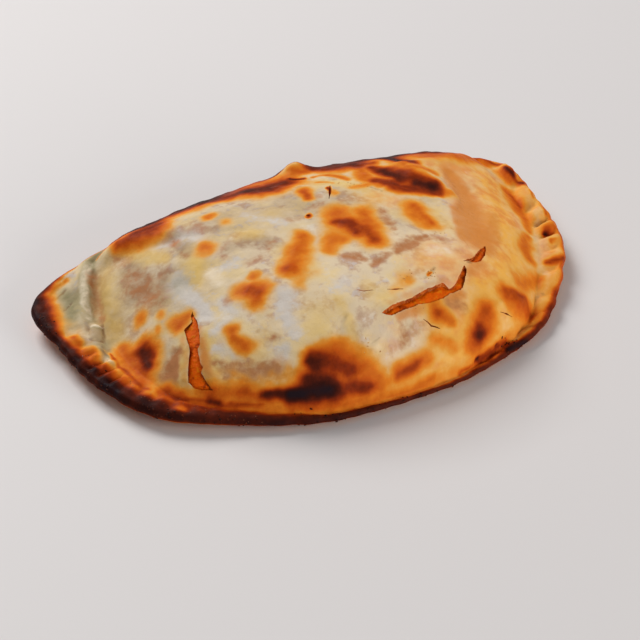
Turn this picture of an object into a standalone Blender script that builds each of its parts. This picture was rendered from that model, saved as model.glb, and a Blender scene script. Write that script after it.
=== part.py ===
"""A baked empanada: a half-moon of wheat dough folded over its filling and crimped round the arc.

Units are metres, +Z up. The origin lies on the table under the middle of the plan. The length runs
along X, the fold is the bulging back (+Y) and the crimped arc is the front (-Y). The crust is one
closed pocket of dough. Two tears open it, and through them shows the filling that it holds.
"""

import math

import bmesh
import bpy
import numpy as np
from mathutils import Vector, noise

# The edge of the half-moon, seen from above, and the section of the dough at each place on it:
# x, y, height of the rim's underside, width of the rim, half the thickness of the edge, and how
# deep the pleats are there, from 0 on the fold to 1.
EDGE = {
    "right tip": (0.0863, 0.0367, 0.0050, 0.0075, 0.0022, 0.3),
    "right shoulder": (0.0850, 0.0157, 0.0040, 0.0088, 0.0022, 0.65),
    "right side": (0.0800, -0.0067, 0.0030, 0.0092, 0.0022, 0.75),
    "right of the arc": (0.0676, -0.0253, 0.0020, 0.0078, 0.0018, 0.5),
    "front right": (0.0499, -0.0424, 0.0012, 0.0050, 0.0015, 0.4),
    "front, right of middle": (0.0229, -0.0521, 0.0006, 0.0028, 0.0012, 0.2),
    "front": (-0.0013, -0.0547, 0.0004, 0.0024, 0.0012, 0.15),
    "front, left of middle": (-0.0312, -0.0527, 0.0006, 0.0036, 0.0014, 0.15),
    "front left": (-0.0569, -0.0415, 0.0012, 0.0060, 0.0018, 0.10),
    "left of the arc": (-0.0756, -0.0283, 0.0020, 0.0085, 0.0020, 0.25),
    "left side": (-0.0844, -0.0064, 0.0025, 0.0125, 0.0020, 0.65),
    "left shoulder": (-0.0862, 0.0175, 0.0030, 0.0155, 0.0020, 0.22),
    "left tip": (-0.0845, 0.0386, 0.0040, 0.0160, 0.0020, 0.06),
    "fold, left end": (-0.0594, 0.0483, 0.0080, 0.0030, 0.0025, 0.0),
    "fold, left of middle": (-0.0299, 0.0523, 0.0090, 0.0005, 0.0035, 0.0),
    "fold": (0.0085, 0.0546, 0.0100, 0.0005, 0.0035, 0.0),
    "fold, right of middle": (0.0437, 0.0497, 0.0090, 0.0005, 0.0035, 0.0),
    "fold, right end": (0.0719, 0.0448, 0.0080, 0.0030, 0.0025, 0.0),
}

# The stuffed middle.
CROWN = (-0.0003, -0.0016)
CROWN_HEIGHT = 0.0302
CROWN_FLATNESS = 2.7
# Widths of the rim between which a pair of values, for a narrow and for a wide rim, changes over.
NARROW_TO_WIDE = (0.0040, 0.0100)
SIDE_STEEPNESS = (0.54, 0.85)
FOOT_BLEND = (0.0010, 0.0045)  # fillet at the foot of the dome
BASE_REACH = 0.0090  # from the foot of the dome in to the flat underside
BASE_LEAST = 0.7
BASE_DIP = 0.0006

# The two sheets of dough and what they hold.
DOUGH = 0.0024
POCKET_INSET = 0.0035
POCKET_SWELLS = 0.0050  # half width of the narrowest swell that shows inside
GAP = 0.0003

# Crimps: a row of pinched pleats round the arc.
PLEATS_ROUND = 62  # as many as the whole edge would hold, fold included
PLEAT_DEPTH = 0.0014
PLEAT_SLANT = 0.35
PLEAT_PINCH = 1.6  # above 1 the pleats are broad and the grooves between them narrow
PLEAT_REACH = (0.0055, 0.0105)  # in from the edge: how far the pleats are full, and where they end
PLEAT_RISE = (-0.0010, 0.0020)  # from the dome's foot: where they begin and are full
PLEAT_START = (-0.0012, 0.0030)  # in from the edge: where they begin and are full
SCALLOP = 0.0003  # how far the edge waves in and out with the pleats
# Waves that make pitch and depth uneven: how many round the edge, start, share of one pleat.
PITCH_DRIFT = ((1, 3.0, 3.0), (7, 2.6, 0.22), (11, 0.4, 0.12))
DEPTH_DRIFT = ((5, 0.7, 0.25), (13, 2.0, 0.25))

# Crags along the crimped edge, where the dough tore and baked hard.
CRAG_SIZE = 0.0042
CRAG_HEIGHT = 0.0006
CRAG_REACH = (0.0020, 0.0055)  # in from the edge: how far the crags are full, and where they end

# Slow unevenness of the dough over the filling.
LUMP_SIZE = 0.017
LUMP_HEIGHT = 0.0008

# Width of the outermost strip, over which the unevenness dies away.
SMOOTH_EDGE = 0.0040

# Single swells (+) and dents (-): x, y, half length, half width, turn in degrees, height.
SWELLS = (
    (-0.0700, 0.0320, 0.0150, 0.0026, 63, 0.0026),
    (-0.0655, 0.0300, 0.0120, 0.0024, 63, -0.0015),
    (-0.0740, 0.0150, 0.0034, 0.0026, 60, 0.0011),
    (-0.0775, 0.0060, 0.0032, 0.0024, 60, 0.0009),
    (0.0104, 0.0452, 0.0052, 0.0038, 20, 0.0038),
    (0.0835, 0.0310, 0.0050, 0.0040, -70, 0.0024),
    (0.0425, 0.0220, 0.0140, 0.0034, -70, 0.0012),
    (0.0345, 0.0180, 0.0130, 0.0040, -62, -0.0009),
    (0.0120, -0.0330, 0.0220, 0.0050, 20, 0.0010),
    (0.0520, 0.0060, 0.0220, 0.0060, 80, -0.0010),
    (-0.0400, 0.0150, 0.0200, 0.0130, 0, 0.0008),
    (0.0100, 0.0200, 0.0220, 0.0140, 20, 0.0006),
    (-0.0680, -0.0150, 0.0080, 0.0050, 60, 0.0010),
    (-0.0200, -0.0400, 0.0180, 0.0050, 0, 0.0007),
)

# Tears in the upper sheet: the middle line from end to end and the half width along it.
LONG_TEAR = (
    (-0.0043, -0.0382, 0.0002),
    (0.0040, -0.0378, 0.0009),
    (0.0115, -0.0372, 0.0015),
    (0.0190, -0.0358, 0.0022),
    (0.0240, -0.0340, 0.0014),
    (0.0290, -0.0305, 0.0010),
    (0.0345, -0.0268, 0.0005),
    (0.0415, -0.0208, 0.0003),
)
SHORT_TEAR = (
    (-0.0532, -0.0096, 0.0003),
    (-0.0542, -0.0135, 0.0010),
    (-0.0568, -0.0170, 0.0019),
    (-0.0588, -0.0225, 0.0016),
    (-0.0600, -0.0258, 0.0021),
    (-0.0598, -0.0302, 0.0012),
    (-0.0590, -0.0318, 0.0003),
)
TOOTH_LENGTH = 0.0022
TOOTH_DEPTH = 0.0004
LONG_TEAR_FLOOR = 0.0120
SHORT_TEAR_FLOOR = 0.0050
TEAR_TOP = 0.0450

# Share of the way from the crown to the middle of the underside where the foot and the edge lie.
FOOT_AT = 0.42
EDGE_AT = 0.62
POCKET_EDGE_AT = 0.60

# Steps of the meshes: round the edge and from the crown to the middle of the underside.
CRUST_STEPS = (360, 44)
POCKET_STEPS = (72, 20)
CRUST_KEPT = 0.245


def closed_curve(rows, at):
    """A closed Catmull-Rom curve through rows, read at the parameters at, one unit a row."""
    whole = np.floor(at).astype(int)
    t = (at - whole)[:, None]
    a, b, c, d = (rows[(whole + k) % len(rows)] for k in (-1, 0, 1, 2))
    return 0.5 * (2 * b + (c - a) * t + (2 * a - 5 * b + 4 * c - d) * t**2 + (3 * b - a - 3 * c + d) * t**3)


def edge_values(around):
    """The columns of EDGE at shares of the edge's length, counted from the right tip."""
    rows = np.array(list(EDGE.values()))
    fine = np.linspace(0, len(rows), 4001)
    line = closed_curve(rows, fine)[:, :2]
    run = np.concatenate([[0], np.cumsum(np.linalg.norm(np.diff(line, axis=0), axis=1))])
    return closed_curve(rows, np.interp(around, run / run[-1], fine)).T


def drift(around, waves):
    """A sum of slow waves round the edge."""
    return sum(share * np.sin(2 * np.pi * count * around + start) for count, start, share in waves)


def larger_blended(a, b, width):
    """The larger of a and b, with a fillet where they meet."""
    near = np.maximum(width - np.abs(a - b), 0)
    return np.maximum(a, b) + near**2 / (4 * width)


def fade(x, start, end):
    """Rises smoothly from 0 at start to 1 at end."""
    t = np.clip((x - start) / (end - start), 0, 1)
    return t * t * (3 - 2 * t)


def swells(x, y, narrowest):
    """Height of the single swells and dents at x, y, leaving out those of a half width under narrowest."""
    total = np.zeros_like(x)
    for px, py, length, width, turn, height in SWELLS:
        if width < narrowest:
            continue
        c, s = math.cos(math.radians(turn)), math.sin(math.radians(turn))
        along = ((x - px) * c + (y - py) * s) / length
        across = (-(x - px) * s + (y - py) * c) / width
        total += height * np.exp(-(along**2) - across**2)
    return total


def sphere_mesh(name, steps):
    """A unit sphere's mesh, with how far round and how far down each of its points lies, 0 to 1."""
    mesh = bpy.data.meshes.new(name)
    shape = bmesh.new()
    bmesh.ops.create_uvsphere(shape, u_segments=steps[0], v_segments=steps[1], radius=1.0)
    shape.to_mesh(mesh)
    shape.free()
    points = np.empty(len(mesh.vertices) * 3, np.float32)
    mesh.vertices.foreach_get("co", points)
    x, y, z = points.reshape(-1, 3).astype(float).T
    around = (np.arctan2(-y, x) / (2 * np.pi)) % 1.0
    down = np.arccos(np.clip(z, -1, 1)) / np.pi
    return mesh, around, down


def even_noise(place, size, layer):
    """Smooth noise of about -1 to 1 at points in plan, with lumps of about the given size."""
    return np.array([noise.noise(Vector((x / size, y / size, layer))) for x, y in place])


def unevenness(place, narrowest=0.0):
    """Height of the lumps, swells and dents at points in plan."""
    return even_noise(place, LUMP_SIZE, 0) * LUMP_HEIGHT + swells(place[:, 0], place[:, 1], narrowest)


def dome_height(reach, crown, rim):
    """Height of the stuffed middle over its foot, for a reach of 0 at the crown and 1 at the foot."""
    steepness = by_rim(SIDE_STEEPNESS, rim)
    return crown * (1 - np.clip(reach, 0, 1) ** CROWN_FLATNESS) ** steepness


def by_rim(pair, rim):
    """Between the two values of a pair, as the rim is narrow or wide."""
    return pair[0] + (pair[1] - pair[0]) * fade(rim, *NARROW_TO_WIDE)


def crust_points(around, down):
    """The outside of the dough: dome, crimped rim and flat underside."""
    x, y, lift, rim, half, crimp = edge_values(around)
    spoke = np.stack([x, y], 1) - CROWN
    radius = np.linalg.norm(spoke, axis=1)
    foot = 1 - rim / radius

    # How far out each point lies: to the foot of the dome, over the rim, and back underneath.
    over_rim = np.sin((down - FOOT_AT) / (EDGE_AT - FOOT_AT) * np.pi / 2)
    reach = np.select(
        [down < FOOT_AT, down <= EDGE_AT],
        [foot * np.sin(down / FOOT_AT * np.pi / 2), foot + (1 - foot) * over_rim],
        np.cos((down - EDGE_AT) / (1 - EDGE_AT) * np.pi / 2),
    )

    past_foot = (reach - foot) * radius
    from_edge = (1 - reach) * radius
    slant = PLEAT_SLANT * np.clip(past_foot / rim, -1, 1)
    phase = around * PLEATS_ROUND + drift(around, PITCH_DRIFT) + slant
    lobes = 1 - 2 * (0.5 - 0.5 * np.cos(2 * np.pi * phase)) ** PLEAT_PINCH
    wave = lobes * np.clip(crimp, 0, 1) * (1 + drift(around, DEPTH_DRIFT))

    rugged = (1 - fade(from_edge, *CRAG_REACH)) * np.clip(4 * crimp, 0, 1)
    crags = CRAG_HEIGHT * rugged * even_noise(CROWN + reach[:, None] * spoke, CRAG_SIZE, 5)

    edge_height = lift + half
    inward = np.clip(from_edge / (1.2 * half), 0, 1)
    lip = half * np.sqrt(1 - (1 - inward) ** 2)
    dome = dome_height(reach / foot, CROWN_HEIGHT - edge_height, rim)
    scallop = 1 + (SCALLOP * wave * fade(reach, 0.85, 1) + crags) / radius
    place = CROWN + (reach * scallop)[:, None] * spoke
    pleats = wave * PLEAT_DEPTH * fade(past_foot, *PLEAT_RISE) * fade(from_edge, *PLEAT_START)
    pleats *= 1 - fade(from_edge, *PLEAT_REACH)
    relief = unevenness(place) * fade(from_edge, 0, SMOOTH_EDGE) + pleats + crags
    risen_lip = larger_blended(dome, lip, by_rim(FOOT_BLEND, rim)) * fade(inward, -0.3, 0.3)
    top = edge_height + risen_lip + relief * fade(inward, 0, 1)

    base = np.maximum(1 - (rim + BASE_REACH) / radius, BASE_LEAST)
    risen = np.clip((reach - base) / (1 - base), 0, 1)
    under = edge_height * (1 - np.sqrt(1 - risen**2)) - BASE_DIP * (1 - fade(risen, 0, 0.25))
    return np.column_stack([place, np.where(down <= EDGE_AT, top, under)])


def pocket_points(around, down, gap):
    """The hollow in the dough, or with a gap the filling in it: the dome again, one sheet further in."""
    x, y, lift, rim, half, _ = edge_values(around)
    spoke = np.stack([x, y], 1) - CROWN
    radius = np.linalg.norm(spoke, axis=1)
    wall = 1 - (rim + POCKET_INSET + gap) / radius
    reach = np.where(
        down < POCKET_EDGE_AT,
        np.sin(down / POCKET_EDGE_AT * np.pi / 2),
        np.cos((down - POCKET_EDGE_AT) / (1 - POCKET_EDGE_AT) * np.pi / 2),
    )
    place = CROWN + (reach * wall)[:, None] * spoke
    waist = 0.5 * (lift + half) + DOUGH
    slow = unevenness(place, POCKET_SWELLS) * (1 - fade(reach, 0.6, 1))
    roof = waist + dome_height(reach, CROWN_HEIGHT - DOUGH - gap - waist, rim) + slow
    floor = waist - (waist - DOUGH - gap) * np.sqrt(np.clip(1 - reach**4, 0, 1))
    return np.column_stack([place, np.where(down < POCKET_EDGE_AT, roof, floor)])


def soft_piece(name, steps, shape, collection):
    """An object whose sphere of steps has taken the given shape."""
    mesh, around, down = sphere_mesh(name, steps)
    mesh.vertices.foreach_set("co", shape(around, down).astype(np.float32).ravel())
    mesh.update()
    mesh.shade_smooth()
    made = bpy.data.objects.new(name, mesh)
    collection.objects.link(made)
    return made


def tear_outline(middle, seed):
    """A closed outline round a middle line of (x, y, half width), with uneven teeth on both lips."""
    draw = np.random.default_rng(seed)
    middle = np.array(middle)
    run = np.concatenate([[0], np.cumsum(np.linalg.norm(np.diff(middle[:, :2], axis=0), axis=1))])
    teeth = round(run[-1] / TOOTH_LENGTH)
    at = np.linspace(0, run[-1], teeth + 1)
    x, y, width = (np.interp(at, run, middle[:, k]) for k in range(3))
    ahead = np.gradient(np.stack([x, y], 1), axis=0)
    side = np.stack([-ahead[:, 1], ahead[:, 0]], 1) / np.linalg.norm(ahead, axis=1)[:, None]
    lips = []
    for sign in (1, -1):
        ragged = width + draw.uniform(-TOOTH_DEPTH, TOOTH_DEPTH, len(at)) * (width > TOOTH_DEPTH)
        lips.append(np.stack([x, y], 1) + sign * side * ragged[:, None])
    return np.concatenate([lips[0], lips[1][::-1]])


def upright_cutter(name, outline, floor, top, collection):
    """A prism over a flat outline, from floor to top: a filled 2D curve with thickness, made a mesh."""
    curve = bpy.data.curves.new(name, "CURVE")
    curve.dimensions = "2D"
    curve.fill_mode = "BOTH"
    curve.extrude = (top - floor) / 2
    spline = curve.splines.new("POLY")
    spline.points.add(len(outline) - 1)
    for point, (x, y) in zip(spline.points, outline):
        point.co = (x, y, 0, 1)
    spline.use_cyclic_u = True
    flat = bpy.data.objects.new(name + " curve", curve)
    flat.location.z = (top + floor) / 2
    collection.objects.link(flat)
    bpy.context.view_layer.update()
    mesh = bpy.data.meshes.new_from_object(flat.evaluated_get(bpy.context.evaluated_depsgraph_get()))
    shape = bmesh.new()
    shape.from_mesh(mesh)
    bmesh.ops.remove_doubles(shape, verts=shape.verts, dist=0.00001)
    bmesh.ops.recalc_face_normals(shape, faces=shape.faces)
    shape.to_mesh(mesh)
    shape.free()
    cutter = bpy.data.objects.new(name, mesh)
    cutter.matrix_world = flat.matrix_world.copy()
    bpy.data.objects.remove(flat)
    return as_cutter(cutter, collection)


def as_cutter(made, collection):
    """Marks an object as a cutter and puts it with the others."""
    made.hide_render = True
    made.display_type = "WIRE"
    if made.name not in collection.objects:
        collection.objects.link(made)
    return made


def cut(piece, cutter):
    """Takes the cutter's shape out of the piece."""
    boolean = piece.modifiers.new(cutter.name, "BOOLEAN")
    boolean.operation = "DIFFERENCE"
    boolean.object = cutter


def baked_material(name, colour, roughness):
    """A plain Principled material."""
    material = bpy.data.materials.new(name)
    material.use_nodes = True
    shader = material.node_tree.nodes["Principled BSDF"]
    shader.inputs["Base Color"].default_value = (*colour, 1)
    shader.inputs["Roughness"].default_value = roughness
    shader.inputs["Metallic"].default_value = 0
    return material


def table_block(collection):
    """What the soft underside was pressed flat on: a block with its top at the table's height."""
    size = Vector((0.3, 0.3, 0.02))
    mesh = bpy.data.meshes.new("table block")
    shape = bmesh.new()
    bmesh.ops.create_cube(shape, size=1.0)
    bmesh.ops.scale(shape, vec=size, verts=shape.verts)
    bmesh.ops.translate(shape, vec=(0, 0, -size.z / 2), verts=shape.verts)
    shape.to_mesh(mesh)
    shape.free()
    return as_cutter(bpy.data.objects.new("table block", mesh), collection)


for old in list(bpy.data.objects):
    bpy.data.objects.remove(old)
parts = bpy.data.collections.new("empanada")
cutters = bpy.data.collections.new("cutters")
bpy.context.scene.collection.children.link(parts)
bpy.context.scene.collection.children.link(cutters)

crust = soft_piece("crust", CRUST_STEPS, crust_points, parts)
crust.data.materials.append(baked_material("baked dough", (0.62, 0.42, 0.23), 0.6))
thinned = crust.modifiers.new("fewer faces", "DECIMATE")
thinned.ratio = CRUST_KEPT
pocket = soft_piece("pocket", POCKET_STEPS, lambda a, d: pocket_points(a, d, 0.0), cutters)
cut(crust, table_block(cutters))
cut(crust, as_cutter(pocket, cutters))
cut(crust, upright_cutter("long tear", tear_outline(LONG_TEAR, 3), LONG_TEAR_FLOOR, TEAR_TOP, cutters))
cut(crust, upright_cutter("short tear", tear_outline(SHORT_TEAR, 5), SHORT_TEAR_FLOOR, TEAR_TOP, cutters))

filling = soft_piece("filling", POCKET_STEPS, lambda a, d: pocket_points(a, d, GAP), parts)
filling.data.materials.append(baked_material("stewed filling", (0.55, 0.20, 0.05), 0.35))
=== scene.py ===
"""A baked empanada: dough folded over its filling and crimped round the arc, browned, burnt in
front and torn twice.

Metres, +Z up, in the same frame as the solids: the length lies along X, the fold at the back (+Y)
and the crimped arc in front (-Y).
"""

import math

import bmesh
import bpy
import numpy as np
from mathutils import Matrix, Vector, noise
from mathutils.bvhtree import BVHTree


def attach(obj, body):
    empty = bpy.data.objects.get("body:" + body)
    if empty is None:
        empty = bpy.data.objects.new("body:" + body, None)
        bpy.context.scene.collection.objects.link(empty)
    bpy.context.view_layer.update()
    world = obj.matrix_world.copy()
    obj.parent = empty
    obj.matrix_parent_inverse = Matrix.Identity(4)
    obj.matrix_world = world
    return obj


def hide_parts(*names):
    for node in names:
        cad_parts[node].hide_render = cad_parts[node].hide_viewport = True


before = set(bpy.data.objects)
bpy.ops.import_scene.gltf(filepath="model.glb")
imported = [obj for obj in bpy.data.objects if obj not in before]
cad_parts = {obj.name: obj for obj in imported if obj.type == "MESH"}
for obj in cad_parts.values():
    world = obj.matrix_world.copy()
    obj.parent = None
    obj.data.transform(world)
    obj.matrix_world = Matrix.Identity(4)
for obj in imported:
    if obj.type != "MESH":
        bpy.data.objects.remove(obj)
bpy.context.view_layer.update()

# ---------------------------------------------------------------------------------------------
# The view. A long lens looks down on the food from the front left. Soft daylight comes over the
# fold from the back left, and a pale floor takes the shadow.
# ---------------------------------------------------------------------------------------------
PICTURE = 640
PIXEL = 0.00031
CAMERA_AT = Vector((-0.3630, -0.6574, 0.5033))
CAMERA_TILT = 34.0
CAMERA_TURN = -28.6
CAMERA_REACH = 0.9
SENSOR = 36.0
NEAREST_SEEN = 0.01

camera_data = bpy.data.cameras.new("view")
camera_data.sensor_width = SENSOR
camera_data.lens = SENSOR * CAMERA_REACH / PIXEL / PICTURE
camera_data.clip_start = NEAREST_SEEN
camera = bpy.data.objects.new("view", camera_data)
camera.location = CAMERA_AT
camera.rotation_euler = (math.radians(90 - CAMERA_TILT), 0, math.radians(CAMERA_TURN))
bpy.context.scene.collection.objects.link(camera)
bpy.context.scene.camera = camera
bpy.context.view_layer.update()
bpy.context.scene.view_settings.view_transform = "Standard"


def sight_line(px, py):
    """The direction in which the camera sees a pixel of the picture."""
    half = PICTURE / 2
    across = (px - half) * PIXEL / CAMERA_REACH
    down = (py - half) * PIXEL / CAMERA_REACH
    return (camera.matrix_world.to_3x3() @ Vector((across, -down, -1))).normalized()


def linear(red, green, blue):
    """A colour given as 0 to 255 for the screen, as the linear values that shaders take."""
    shares = [value / 255 for value in (red, green, blue)]
    return tuple(c / 12.92 if c <= 0.04045 else ((c + 0.055) / 1.055) ** 2.4 for c in shares)


def add_object(name, data):
    """A new object at the origin, in the scene."""
    made = bpy.data.objects.new(name, data)
    bpy.context.scene.collection.objects.link(made)
    return made


FLOOR_SIZE = 3.0
FLOOR_COLOUR = linear(211, 207, 207)
FLOOR_ROUGHNESS = 0.6
floor_mesh = bpy.data.meshes.new("floor")
shape = bmesh.new()
bmesh.ops.create_grid(shape, x_segments=1, y_segments=1, size=FLOOR_SIZE / 2)
shape.to_mesh(floor_mesh)
shape.free()
floor = add_object("floor", floor_mesh)
floor_paint = bpy.data.materials.new("pale floor")
floor_paint.use_nodes = True
floor_shader = floor_paint.node_tree.nodes["Principled BSDF"]
floor_shader.inputs["Base Color"].default_value = (*FLOOR_COLOUR, 1)
floor_shader.inputs["Roughness"].default_value = FLOOR_ROUGHNESS
floor_mesh.materials.append(floor_paint)

ROOM_LIGHT = 0.27
ROOM_COLOUR = (0.97, 0.98, 1.0, 1)
room = bpy.data.worlds.new("room")
room.use_nodes = True
room_air = room.node_tree.nodes["Background"].inputs
room_air["Color"].default_value = ROOM_COLOUR
room_air["Strength"].default_value = ROOM_LIGHT
bpy.context.scene.world = room

# Square soft boxes turned to the food: name, place, side, watts and colour.
SOFT_BOXES = (
    ("window", (-0.15, 1.35, 1.12), 0.9, 31.0, (1.0, 0.99, 0.97)),
    ("fill", (0.46, -0.97, 0.25), 0.7, 9.5, (1.0, 0.97, 0.92)),
)
for light_name, at, side, watts, light_colour in SOFT_BOXES:
    lamp = bpy.data.lights.new(light_name, "AREA")
    lamp.size = side
    lamp.energy = watts
    lamp.color = light_colour
    soft_box = add_object(light_name, lamp)
    soft_box.location = at
    soft_box.rotation_euler = (-Vector(at)).to_track_quat("-Z", "Y").to_euler()

# ---------------------------------------------------------------------------------------------
# The crust. Wheat dough rolled thin, folded over the filling along the back and pinched shut
# round the arc, then baked: the dome lies loose over the filling, the rim is two sheets thick.
# ---------------------------------------------------------------------------------------------
# The edge seen from above and the section there, in metres and shares: x, y, how high the rim's
# underside lies, how wide the rim is, half the thickness of the edge, how deep the pleats are, how
# dark the edge is baked, how far in that goes, and how dark the wider band inside it is.
EDGE = {
    "right tip": (0.0863, 0.0367, 0.0050, 0.0075, 0.0022, 0.3, 0.62, 0.0014, 0.30),
    "right shoulder": (0.0850, 0.0157, 0.0040, 0.0088, 0.0022, 0.65, 0.44, 0.0012, 0.26),
    "right side": (0.0800, -0.0067, 0.0030, 0.0092, 0.0022, 0.75, 0.50, 0.0012, 0.28),
    "right of the arc": (0.0676, -0.0253, 0.0020, 0.0078, 0.0018, 0.5, 0.56, 0.0014, 0.34),
    "front right": (0.0499, -0.0424, 0.0012, 0.0050, 0.0015, 0.4, 0.76, 0.0017, 0.34),
    "front, right of middle": (0.0229, -0.0521, 0.0006, 0.0028, 0.0012, 0.2, 0.78, 0.0011, 0.14),
    "front": (-0.0013, -0.0547, 0.0004, 0.0024, 0.0012, 0.15, 0.82, 0.0012, 0.16),
    "front, left of middle": (-0.0312, -0.0527, 0.0006, 0.0036, 0.0014, 0.15, 0.86, 0.0025, 0.26),
    "front left": (-0.0569, -0.0415, 0.0012, 0.0060, 0.0018, 0.10, 0.85, 0.0042, 0.56),
    "left of the arc": (-0.0756, -0.0283, 0.0020, 0.0085, 0.0020, 0.25, 0.86, 0.0050, 0.36),
    "left side": (-0.0844, -0.0064, 0.0025, 0.0125, 0.0020, 0.65, 0.86, 0.0042, 0.22),
    "left shoulder": (-0.0862, 0.0175, 0.0030, 0.0155, 0.0020, 0.22, 0.86, 0.0026, 0.28),
    "left tip": (-0.0845, 0.0386, 0.0040, 0.0160, 0.0020, 0.06, 0.86, 0.0026, 0.20),
    "fold, left end": (-0.0594, 0.0483, 0.0080, 0.0030, 0.0025, 0.0, 0.64, 0.0013, 0.08),
    "fold, left of middle": (-0.0299, 0.0523, 0.0090, 0.0005, 0.0035, 0.0, 0.62, 0.0034, 0.25),
    "fold": (0.0085, 0.0546, 0.0100, 0.0005, 0.0035, 0.0, 0.72, 0.0042, 0.30),
    "fold, right of middle": (0.0437, 0.0497, 0.0090, 0.0005, 0.0035, 0.0, 0.60, 0.0034, 0.25),
    "fold, right end": (0.0719, 0.0448, 0.0080, 0.0030, 0.0025, 0.0, 0.60, 0.0020, 0.20),
}
CROWN = (-0.0003, -0.0016)
CROWN_HEIGHT = 0.0302
CROWN_FLATNESS = 2.7
# Pairs hold a value for a narrow rim and one for a wide rim.
NARROW_TO_WIDE = (0.0040, 0.0100)
SIDE_STEEPNESS = (0.54, 0.85)
FOOT_BLEND = (0.0010, 0.0045)
FOOT_GROOVE = 0.0007
FOOT_GROOVE_WIDTH = 0.0009
BASE_REACH = 0.0090
BASE_LEAST = 0.7
DOUGH = 0.0024
POCKET_INSET = 0.0035
POCKET_SWELLS = 0.0050
POCKET_CALM = 0.6
LIP_ROUNDING = 1.2
DOME_EVENNESS = 0.4
TUCK_SHARPNESS = 8

PLEATS_ROUND = 62
PLEAT_DEPTH = 0.0014
PLEAT_SLANT = 0.35
PLEAT_PINCH = 1.6
PLEAT_REACH = (0.0055, 0.0105)
PLEAT_RISE = (-0.0010, 0.0020)
PLEAT_START = (-0.0012, 0.0030)
SCALLOP = 0.0003
SCALLOP_START = 0.85
CRAG_SIZE = 0.0042
CRAG_HEIGHT = 0.0006
CRAG_REACH = (0.0020, 0.0055)
SMOOTH_EDGE = 0.0040
# Slow waves round the edge: how many, where they start and how high they are.
PITCH_DRIFT = ((1, 3.0, 3.0), (7, 2.6, 0.22), (11, 0.4, 0.12))
DEPTH_DRIFT = ((5, 0.7, 0.25), (13, 2.0, 0.25))

LUMP_SIZE = 0.017
LUMP_HEIGHT = 0.0008
# Swells and dents of the dough: x, y, half its length and width, its turn in degrees, its height.
SWELLS = (
    (-0.0700, 0.0320, 0.0150, 0.0026, 63, 0.0026),
    (-0.0655, 0.0300, 0.0120, 0.0024, 63, -0.0015),
    (-0.0740, 0.0150, 0.0034, 0.0026, 60, 0.0011),
    (-0.0775, 0.0060, 0.0032, 0.0024, 60, 0.0009),
    (0.0104, 0.0452, 0.0052, 0.0038, 20, 0.0038),
    (0.0835, 0.0310, 0.0050, 0.0040, -70, 0.0024),
    (0.0425, 0.0220, 0.0140, 0.0034, -70, 0.0012),
    (0.0345, 0.0180, 0.0130, 0.0040, -62, -0.0009),
    (0.0120, -0.0330, 0.0220, 0.0050, 20, 0.0010),
    (0.0520, 0.0060, 0.0220, 0.0060, 80, -0.0010),
    (-0.0400, 0.0150, 0.0200, 0.0130, 0, 0.0008),
    (0.0100, 0.0200, 0.0220, 0.0140, 20, 0.0006),
    (-0.0680, -0.0150, 0.0080, 0.0050, 60, 0.0010),
    (-0.0200, -0.0400, 0.0180, 0.0050, 0, 0.0007),
)

# Steps round and down, and where on the way down the dome's foot and the edge lie.
CRUST_STEPS = (446, 190)
POCKET_STEPS = (150, 40)
FOOT_AT = 0.62
EDGE_AT = 0.83
POCKET_EDGE_AT = 0.60


def closed_curve(rows, at):
    """A closed Catmull-Rom curve through rows, read at the parameters at, one unit a row."""
    whole = np.floor(at).astype(int)
    t = (at - whole)[:, None]
    a, b, c, d = (rows[(whole + k) % len(rows)] for k in (-1, 0, 1, 2))
    square, cube = 2 * a - 5 * b + 4 * c - d, 3 * b - a - 3 * c + d
    return 0.5 * (2 * b + (c - a) * t + square * t**2 + cube * t**3)


EDGE_SAMPLES = 4001


def edge_values(around):
    """The columns of EDGE at shares of the edge's length, counted from the right tip."""
    rows = np.array(list(EDGE.values()))
    fine = np.linspace(0, len(rows), EDGE_SAMPLES)
    line = closed_curve(rows, fine)[:, :2]
    run = np.concatenate([[0], np.cumsum(np.linalg.norm(np.diff(line, axis=0), axis=1))])
    return closed_curve(rows, np.interp(around, run / run[-1], fine)).T


def drift(around, waves):
    """A sum of slow waves round the edge."""
    return sum(share * np.sin(2 * np.pi * count * around + start) for count, start, share in waves)


def larger_blended(a, b, width):
    """The larger of a and b, with a fillet where they meet."""
    near = np.maximum(width - np.abs(a - b), 0)
    return np.maximum(a, b) + near**2 / (4 * width)


def fade(x, start, end):
    """Rises smoothly from 0 at start to 1 at end."""
    t = np.clip((x - start) / (end - start), 0, 1)
    return t * t * (3 - 2 * t)


def even_noise(points, size, lift=0.0):
    """Smooth noise of about -1 to 1 at each point, with lumps of about the given size."""
    return np.array([noise.noise(Vector(p) / size + Vector((0, 0, lift))) for p in points])


def unevenness(place, narrowest=0.0):
    """Height of the lumps, and of the swells and dents from a width on, at points in plan."""
    flat = np.column_stack([place, np.zeros(len(place))])
    total = even_noise(flat, LUMP_SIZE) * LUMP_HEIGHT
    for px, py, length, width, turn, height in SWELLS:
        if width < narrowest:
            continue
        c, s = math.cos(math.radians(turn)), math.sin(math.radians(turn))
        along = ((place[:, 0] - px) * c + (place[:, 1] - py) * s) / length
        across = (-(place[:, 0] - px) * s + (place[:, 1] - py) * c) / width
        total += height * np.exp(-(along**2) - across**2)
    return total


def by_rim(pair, rim):
    """Between the two values of a pair, as the rim is narrow or wide."""
    return pair[0] + (pair[1] - pair[0]) * fade(rim, *NARROW_TO_WIDE)


def tucked_in(rim, crimp):
    """1 where the dome's foot meets a narrow crimped rim, 0 on a wide rim and on the fold."""
    return by_rim((1, 0), rim) * np.clip(crimp * TUCK_SHARPNESS, 0, 1)


def dome_height(reach, crown, rim):
    """Height of the stuffed middle over its foot, for a reach of 0 at the crown, 1 at the foot."""
    steepness = by_rim(SIDE_STEEPNESS, rim)
    return crown * (1 - np.clip(reach, 0, 1) ** CROWN_FLATNESS) ** steepness


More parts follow.
